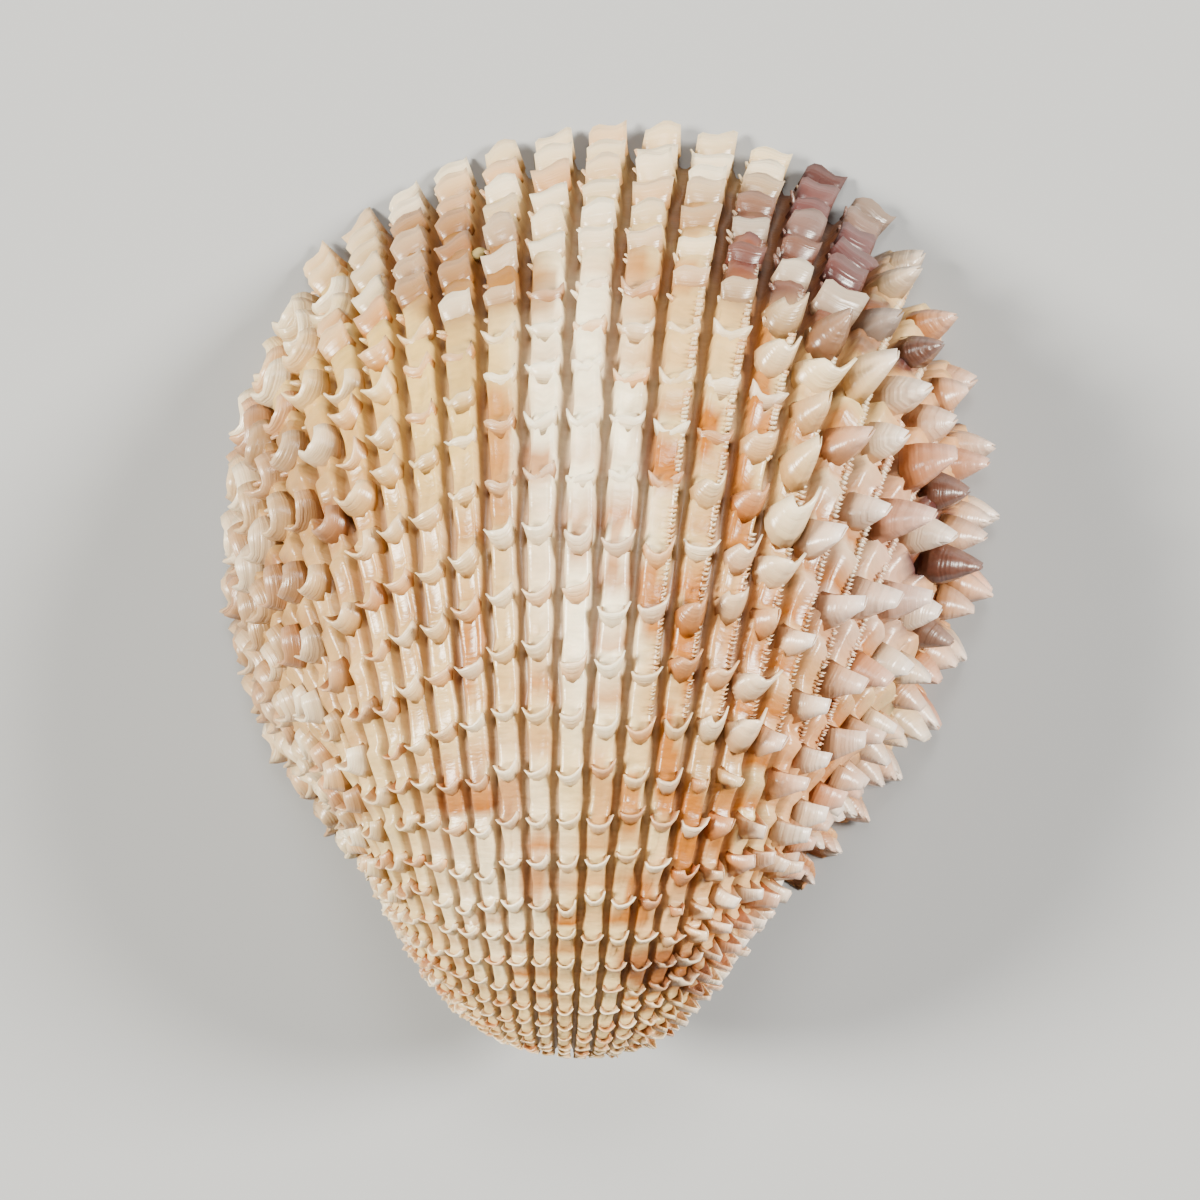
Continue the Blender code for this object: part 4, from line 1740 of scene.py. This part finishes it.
@dataclass(frozen=True)
class OutsideFinish:
    """Outside of the shell: laid colours, growth lines, dull grooves and glossy crests, with painted shade in
    the grooves and at the scales' roots and hollow sides.
    """

    grain_tree: bpy.types.NodeTree
    name: str = "shell_outside"
    # Groove colours: the grooves' own brown, darkened as painted shade of the recess between the ribs; the
    # second colour is the deeper painted shade.
    groove: tuple[float, float, float] = tone("925c2a")
    groove_dark_shade: tuple[float, float, float] = tone("4c2c12")
    # Warm painted shade on the hollow side of each scale.
    hollow_shade_tint: tuple[float, float, float] = tone("c08a48")
    # Scale roots: partly the scales' own tan, partly painted shade where each scale meets the rib.
    root_tint_and_shade: tuple[float, float, float] = tone("a8763f")
    roughness: float = 0.32
    groove_roughness: float = 0.62
    cloud_roughness: float = 0.25
    cloud_size: float = 260.0
    grain_size: float = 1100.0
    line_size: float = 95.0
    line_slant: float = 0.02
    line_detail: float = 3.0
    ridge_size: float = 9.0
    ridge_detail: float = 2.0
    cloud_range: tuple[float, float] = (0.3, 0.7)
    cloud_shades: tuple[float, float] = (0.86, 1.08)
    line_range: tuple[float, float] = (0.35, 0.65)
    line_shades: tuple[float, float] = (0.90, 1.04)
    groove_crests: tuple[float, float] = (0.15, 0.85)
    # How far the colour in a groove is pulled towards the painted groove shade.
    groove_shade_share: float = 0.7
    root_shade_share: float = 0.5
    hollow_shade_share: float = 0.9
    hollow_shade_fade: float = 0.5
    tip_share: float = 0.75
    tip_power: float = 1.5
    tip_inside: float = 0.6
    relief: tuple[float, float, float, float] = (1.0, 0.35, 1.6, 1.8)
    relief_strength: float = 0.35
    relief_depth: float = 0.00025

    def build(self) -> bpy.types.Material:
        """Write the material.

        Returns:
            The material.
        """
        material, nodes, shader = new_finish(self.name)
        where = nodes.add("ShaderNodeTexCoord").outputs["Object"]
        sizes = {"Place": where, "Cloud size": self.cloud_size, "Grain size": self.grain_size}
        grain = nodes.group(self.grain_tree, sizes)
        cloud, fine = grain["Cloud"], grain["Grain"]
        tip, rib, turn = (nodes.attribute(name) for name in ("tip", "rib", "turn"))
        slant = nodes.math("MULTIPLY", rib, self.line_slant)
        age = nodes.add("ShaderNodeCombineXYZ", {0: turn, 1: slant}).outputs[0]
        lines = nodes.noise(age, self.line_size, self.line_detail)
        low = nodes.remap(nodes.attribute("crest"), self.groove_crests)
        color = self.ground_color(nodes, cloud, low)
        color = self.scale_color(nodes, color, tip)
        color = nodes.scaled(color, nodes.remap(lines, self.line_range, self.line_shades))
        dull = nodes.remap(low, (0.0, 1.0), (self.groove_roughness, self.roughness))
        uneven = nodes.math("MULTIPLY", nodes.math("SUBTRACT", cloud, 0.5), self.cloud_roughness)
        along = nodes.math("MULTIPLY", tip, self.ridge_size)
        ridges = nodes.add("ShaderNodeCombineXYZ", {0: along, 1: rib, 2: turn}).outputs[0]
        ridges = nodes.noise(ridges, 1.0, self.ridge_detail)
        height = 0.0
        for share, part in zip(self.relief, (lines, fine, ridges, cloud)):
            height = nodes.math("ADD", height, nodes.math("MULTIPLY", part, share))
        nodes.wire(
            shader,
            {
                "Base Color": color,
                "Roughness": nodes.math("ADD", dull, uneven),
                "Normal": nodes.bump(height, self.relief_strength, self.relief_depth),
                "Subsurface Weight": 0.12,
                "Subsurface Radius": (1.0, 0.6, 0.4),
                "Subsurface Scale": 0.0012,
                "Coat Weight": 0.18,
                "Coat Roughness": 0.22,
                "IOR": 1.55,
            },
        )
        return material

    def ground_color(
        self, nodes: NodeTree, cloud: bpy.types.NodeSocket, low: bpy.types.NodeSocket
    ) -> bpy.types.NodeSocket:
        """Vary the laid colours by the clouds and paint the grooves darker: their own brown together with
        painted shade of the recess between the ribs.

        Args:
            nodes: The material's helper.
            cloud: Height of the clouds.
            low: 0 in a groove and 1 on a rib.

        Returns:
            The colour.
        """
        shade = nodes.remap(cloud, self.cloud_range, self.cloud_shades)
        toned = nodes.scaled(nodes.attribute("paint", "Color"), shade)
        # Painted shade in the grooves, broken up by the clouds and laid where the crest is low.
        groove_shade_color = nodes.mix(cloud, (*self.groove, 1.0), (*self.groove_dark_shade, 1.0))
        return nodes.mix(low, nodes.mix(self.groove_shade_share, toned, groove_shade_color), toned)

    def scale_color(
        self, nodes: NodeTree, color: bpy.types.NodeSocket, tip: bpy.types.NodeSocket
    ) -> bpy.types.NodeSocket:
        """Darken the roots of the scales with their own tan and painted shade, darken their hollow sides with
        warm painted shade, and whiten their tips.

        Args:
            nodes: The material's helper.
            color: The colour so far.
            tip: Height on the scale, from 0 to 1.

        Returns:
            The colour.
        """
        # Painted shade at the root of each scale, partly its own tan; it falls on the scales only, where
        # grown is 1.
        root = nodes.math("MULTIPLY", nodes.attribute("grown"), nodes.math("SUBTRACT", 1.0, tip))
        root = nodes.math("MULTIPLY", root, self.root_shade_share)
        color = nodes.mix(root, color, (*self.root_tint_and_shade, 1.0), "MULTIPLY")
        inside = nodes.attribute("inside")
        # Warm painted shade on the hollow side of each scale, weaker towards its tip.
        fade = nodes.math("SUBTRACT", self.hollow_shade_share, nodes.math("MULTIPLY", tip, self.hollow_shade_fade))
        shaded = nodes.math("MULTIPLY", inside, fade)
        color = nodes.mix(shaded, color, (*self.hollow_shade_tint, 1.0), "MULTIPLY")
        pale = nodes.math("MULTIPLY", nodes.math("POWER", tip, self.tip_power), self.tip_share)
        fade = nodes.math("SUBTRACT", 1.0, nodes.math("MULTIPLY", inside, self.tip_inside))
        pale = nodes.math("MULTIPLY", pale, fade)
        return nodes.mix(pale, color, nodes.attribute("tip_paint", "Color"))


@dataclass(frozen=True)
class LiningFinish:
    """Lining of the hollow: porcelain white with a flush, muscle scars and the mantle's line."""

    grain_tree: bpy.types.NodeTree
    name: str = "shell_lining"
    white: tuple[float, float, float] = tone("f1e8dc")
    flush: tuple[float, float, float] = tone("e2ab8c")
    scar_tint: tuple[float, float, float] = tone("c9b49a")
    roughness: float = 0.24
    coat: float = 0.4
    coat_roughness: float = 0.12
    scars: tuple[tuple[float, float, float, float], ...] = ((6.5, 0.95, 3.0, 0.20), (31.0, 0.90, 3.4, 0.22))
    scar_edge: tuple[float, float] = (1.0, 0.75)
    scar_share: float = 0.35
    mantle_turn: float = 0.36
    mantle_width: float = 0.035
    cloud_size: float = 70.0
    grain_size: float = 500.0
    flush_turns: tuple[float, float] = (0.45, 1.3)
    flush_share: float = 0.8
    flush_clouds: float = 0.35
    grain_relief: float = 0.4
    relief_strength: float = 0.35
    relief_depth: float = 0.0002

    def scar(
        self, nodes: NodeTree, rib: bpy.types.NodeSocket, turn: bpy.types.NodeSocket
    ) -> bpy.types.NodeSocket:
        """Mask the muscle scars and the mantle's line.

        Args:
            nodes: The material's helper.
            rib: Place counted in ribs.
            turn: Turn of the former rim.

        Returns:
            1 inside a scar or on the line, and 0 elsewhere.
        """
        off = nodes.math("DIVIDE", nodes.math("SUBTRACT", turn, self.mantle_turn), self.mantle_width)
        mask = nodes.math("SUBTRACT", 1.0, nodes.math("MULTIPLY", off, off))
        mask = nodes.math("MAXIMUM", mask, 0.0)
        for middle, depth, ribs, turns in self.scars:
            side = nodes.math("DIVIDE", nodes.math("SUBTRACT", rib, middle), ribs)
            rise = nodes.math("DIVIDE", nodes.math("SUBTRACT", turn, depth), turns)
            reach = nodes.math("ADD", nodes.math("MULTIPLY", side, side), nodes.math("MULTIPLY", rise, rise))
            mask = nodes.math("MAXIMUM", mask, nodes.remap(reach, self.scar_edge))
        return mask

    def build(self) -> bpy.types.Material:
        """Write the material.

        Returns:
            The material.
        """
        material, nodes, shader = new_finish(self.name)
        where = nodes.add("ShaderNodeTexCoord").outputs["Object"]
        turn, rib = nodes.attribute("turn"), nodes.attribute("rib")
        sizes = {"Place": where, "Cloud size": self.cloud_size, "Grain size": self.grain_size}
        grain = nodes.group(self.grain_tree, sizes)
        scar = self.scar(nodes, rib, turn)
        depth = nodes.math("ADD", turn, nodes.math("MULTIPLY", grain["Cloud"], self.flush_clouds))
        blush = nodes.remap(depth, self.flush_turns, (0.0, self.flush_share))
        color = nodes.mix(blush, (*self.white, 1.0), (*self.flush, 1.0))
        color = nodes.mix(nodes.math("MULTIPLY", scar, self.scar_share), color, (*self.scar_tint, 1.0))
        height = nodes.math("SUBTRACT", nodes.math("MULTIPLY", grain["Grain"], self.grain_relief), scar)
        nodes.wire(
            shader,
            {
                "Base Color": color,
                "Normal": nodes.bump(height, self.relief_strength, self.relief_depth),
                "Roughness": self.roughness,
                "Coat Weight": self.coat,
                "Coat Roughness": self.coat_roughness,
            },
        )
        return material


@dataclass(frozen=True)
class HingeTeeth:
    """Two knobs under the beak and a long tooth on each side of them, on the hinge plate."""

    teeth: tuple[tuple[float, float, float], ...] = (
        (0.20, 1.7, 0.34),
        (0.43, 0.75, 0.55),
        (0.57, 0.8, 0.45),
        (0.82, 1.8, 0.30),
    )
    height: float = 0.78
    level: float = 0.95
    aim_step: float = 0.02

    def build(self, body: ValveBody, finish: bpy.types.Material) -> None:
        """Build the teeth on the hinge plate.

        Args:
            body: The wall with the hinge plate.
            finish: The lining's material.
        """
        line = body.hinge_line()
        shares = np.linspace(0.0, 1.0, len(line))
        maker = bmesh.new()
        for place, length, width in self.teeth:
            middle, ahead = (
                np.array([np.interp(share, shares, line[:, axis]) for axis in (0, 1, 2)])
                for share in (place, place + self.aim_step)
            )
            along = (ahead - middle) / np.linalg.norm(ahead - middle)
            side = np.array([-along[1], along[0], 0.0])
            middle[2] = self.level
            made = bmesh.ops.create_icosphere(maker, subdivisions=3, radius=1.0)
            for vertex in made["verts"]:
                x, y, z = vertex.co
                spot = middle + along * x * length + side * y * width + np.array([0.0, 0.0, z * self.height])
                vertex.co = Vector(spot * MM)
        mesh = bpy.data.meshes.new("hinge_teeth")
        maker.to_mesh(mesh)
        maker.free()
        store(mesh, "turn", "FLOAT", np.zeros(len(mesh.vertices)))
        store(mesh, "rib", "FLOAT", np.full(len(mesh.vertices), float(COIL.rib_count)))
        mesh.shade_smooth()
        mesh.materials.append(finish)
        adopt(link(bpy.data.objects.new("hinge_teeth", mesh)))


@dataclass(frozen=True)
class GrainOfGrit:
    """A grain of grit that is wedged between two ribs near the rim."""

    groove: float = 17.93
    turn: float = 0.265
    depth: float = 0.33
    size: tuple[float, float, float] = (0.78, 0.60, 0.50)
    lumps: float = 1.7
    lump_height: float = 0.22
    color: tuple[float, float, float] = tone("6a5828")
    light_color: tuple[float, float, float] = tone("a8945c")
    cloud_size: float = 900.0
    grain_size: float = 3000.0
    roughness: float = 0.6
    relief_strength: float = 0.4
    relief_depth: float = 0.0001

    def build(self, grain_tree: bpy.types.NodeTree) -> None:
        """Build the grain of grit and set it in its groove.

        Args:
            grain_tree: Shader group that breaks up its colour.
        """
        seats = COIL.seats(np.array([self.groove]), np.array([self.turn]), self.depth)
        mesh = bpy.data.meshes.new("grit")
        maker = bmesh.new()
        bmesh.ops.create_icosphere(maker, subdivisions=3, radius=1.0)
        for vertex in maker.verts:
            place = np.array(vertex.co) * self.lumps
            lump = float(soft_noise(place[:1] + place[2], place[1:2] - place[2], seed=60)[0])
            shape = np.array(vertex.co) * np.array(self.size) * (1.0 + self.lump_height * lump)
            spot = seats.points[0] + shape[0] * seats.across[0] + shape[1] * seats.forward[0]
            vertex.co = Vector((spot + shape[2] * seats.upward[0]) * MM)
        maker.to_mesh(mesh)
        maker.free()
        mesh.shade_smooth()
        mesh.materials.append(self.finish(grain_tree))
        adopt(link(bpy.data.objects.new("grit", mesh)))

    def finish(self, grain_tree: bpy.types.NodeTree) -> bpy.types.Material:
        """Write the grain's material."""
        material, nodes, shader = new_finish("grit_stone")
        where = nodes.add("ShaderNodeTexCoord").outputs["Object"]
        sizes = {"Place": where, "Cloud size": self.cloud_size, "Grain size": self.grain_size}
        grain = nodes.group(grain_tree, sizes)
        color = nodes.mix(grain["Cloud"], (*self.color, 1.0), (*self.light_color, 1.0))
        normal = nodes.bump(grain["Grain"], self.relief_strength, self.relief_depth)
        nodes.wire(shader, {"Base Color": color, "Normal": normal, "Roughness": self.roughness})
        return material


@dataclass(frozen=True)
class Lamp:
    """One wide soft lamp that lights the floor and the shell evenly."""

    name: str
    direction: tuple[float, float, float]
    power: float
    color: tuple[float, float, float]
    width: float = 0.32

    def build(self) -> None:
        """Hang the lamp, so that it shines from its direction."""
        data = bpy.data.lights.new(self.name, "SUN")
        data.angle = self.width
        data.energy = self.power
        data.color = self.color
        lamp = link(bpy.data.objects.new(self.name, data))
        lamp.location = self.direction
        lamp.rotation_mode = "QUATERNION"
        lamp.rotation_quaternion = Vector(self.direction).to_track_quat("Z", "Y")


@dataclass(frozen=True)
class Studio:
    """Plain pale floor and soft light."""

    floor_size: float = 12.0
    floor_color: tuple[float, float, float] = tone("999b9e")
    floor_roughness: float = 0.9
    air_color: tuple[float, float, float] = (1.0, 0.97, 0.93)
    air_power: float = 0.12
    lamps: tuple[Lamp, ...] = (
        Lamp("lamp_left", (-0.36, 0.05, 0.25), 10.2, (1.0, 0.95, 0.83)),
        Lamp("lamp_right", (0.36, 0.09, 0.23), 9.5, (1.0, 0.96, 0.87)),
        Lamp("lamp_top", (0.02, 0.26, 0.38), 1.8, (1.0, 0.98, 0.92)),
    )

    def build(self) -> None:
        """Make the floor, the lamps and the surrounding light."""
        mesh = bpy.data.meshes.new("studio_floor")
        half = self.floor_size / 2.0
        corners = [(-half, -half, 0.0), (half, -half, 0.0), (half, half, 0.0), (-half, half, 0.0)]
        mesh.from_pydata(corners, [], [(0, 1, 2, 3)])
        floor = link(bpy.data.objects.new("studio_floor", mesh))
        material, nodes, shader = new_finish("floor_paper")
        nodes.wire(shader, {"Base Color": (*self.floor_color, 1.0), "Roughness": self.floor_roughness})
        mesh.materials.append(material)
        for lamp in self.lamps:
            lamp.build()
        world = bpy.data.worlds.new("studio_air")
        world.use_nodes = True
        background = world.node_tree.nodes["Background"]
        background.inputs["Color"].default_value = (*self.air_color, 1.0)
        background.inputs["Strength"].default_value = self.air_power
        bpy.context.scene.world = world


def main() -> None:
    """Build the camera, the shell and the studio."""
    logging.basicConfig(level=logging.INFO, format="%(name)s %(message)s")
    CAMERA.build()
    grain_tree = GrainGroup().build()
    outside = OutsideFinish(grain_tree).build()
    lining = LiningFinish(grain_tree).build()
    body = ValveBody()
    body.build((outside, lining))
    HingeTeeth().build(body, lining)
    shelf = FormShelf()
    plots = (
        ScaleRows("front_scales", 0, 13),
        ScaleRows("middle_scales", 14, 25),
        ScaleRows("hind_spines", 26, 37, tip_color="efe2e0", tip_share=0.85),
        RibTeeth(),
        FlankFrills(),
    )
    for plot in plots:
        plot.build(shelf, outside)
    shelf.clear()
    GrainOfGrit().build(grain_tree)
    Studio().build()


if __name__ == "__main__":
    main()
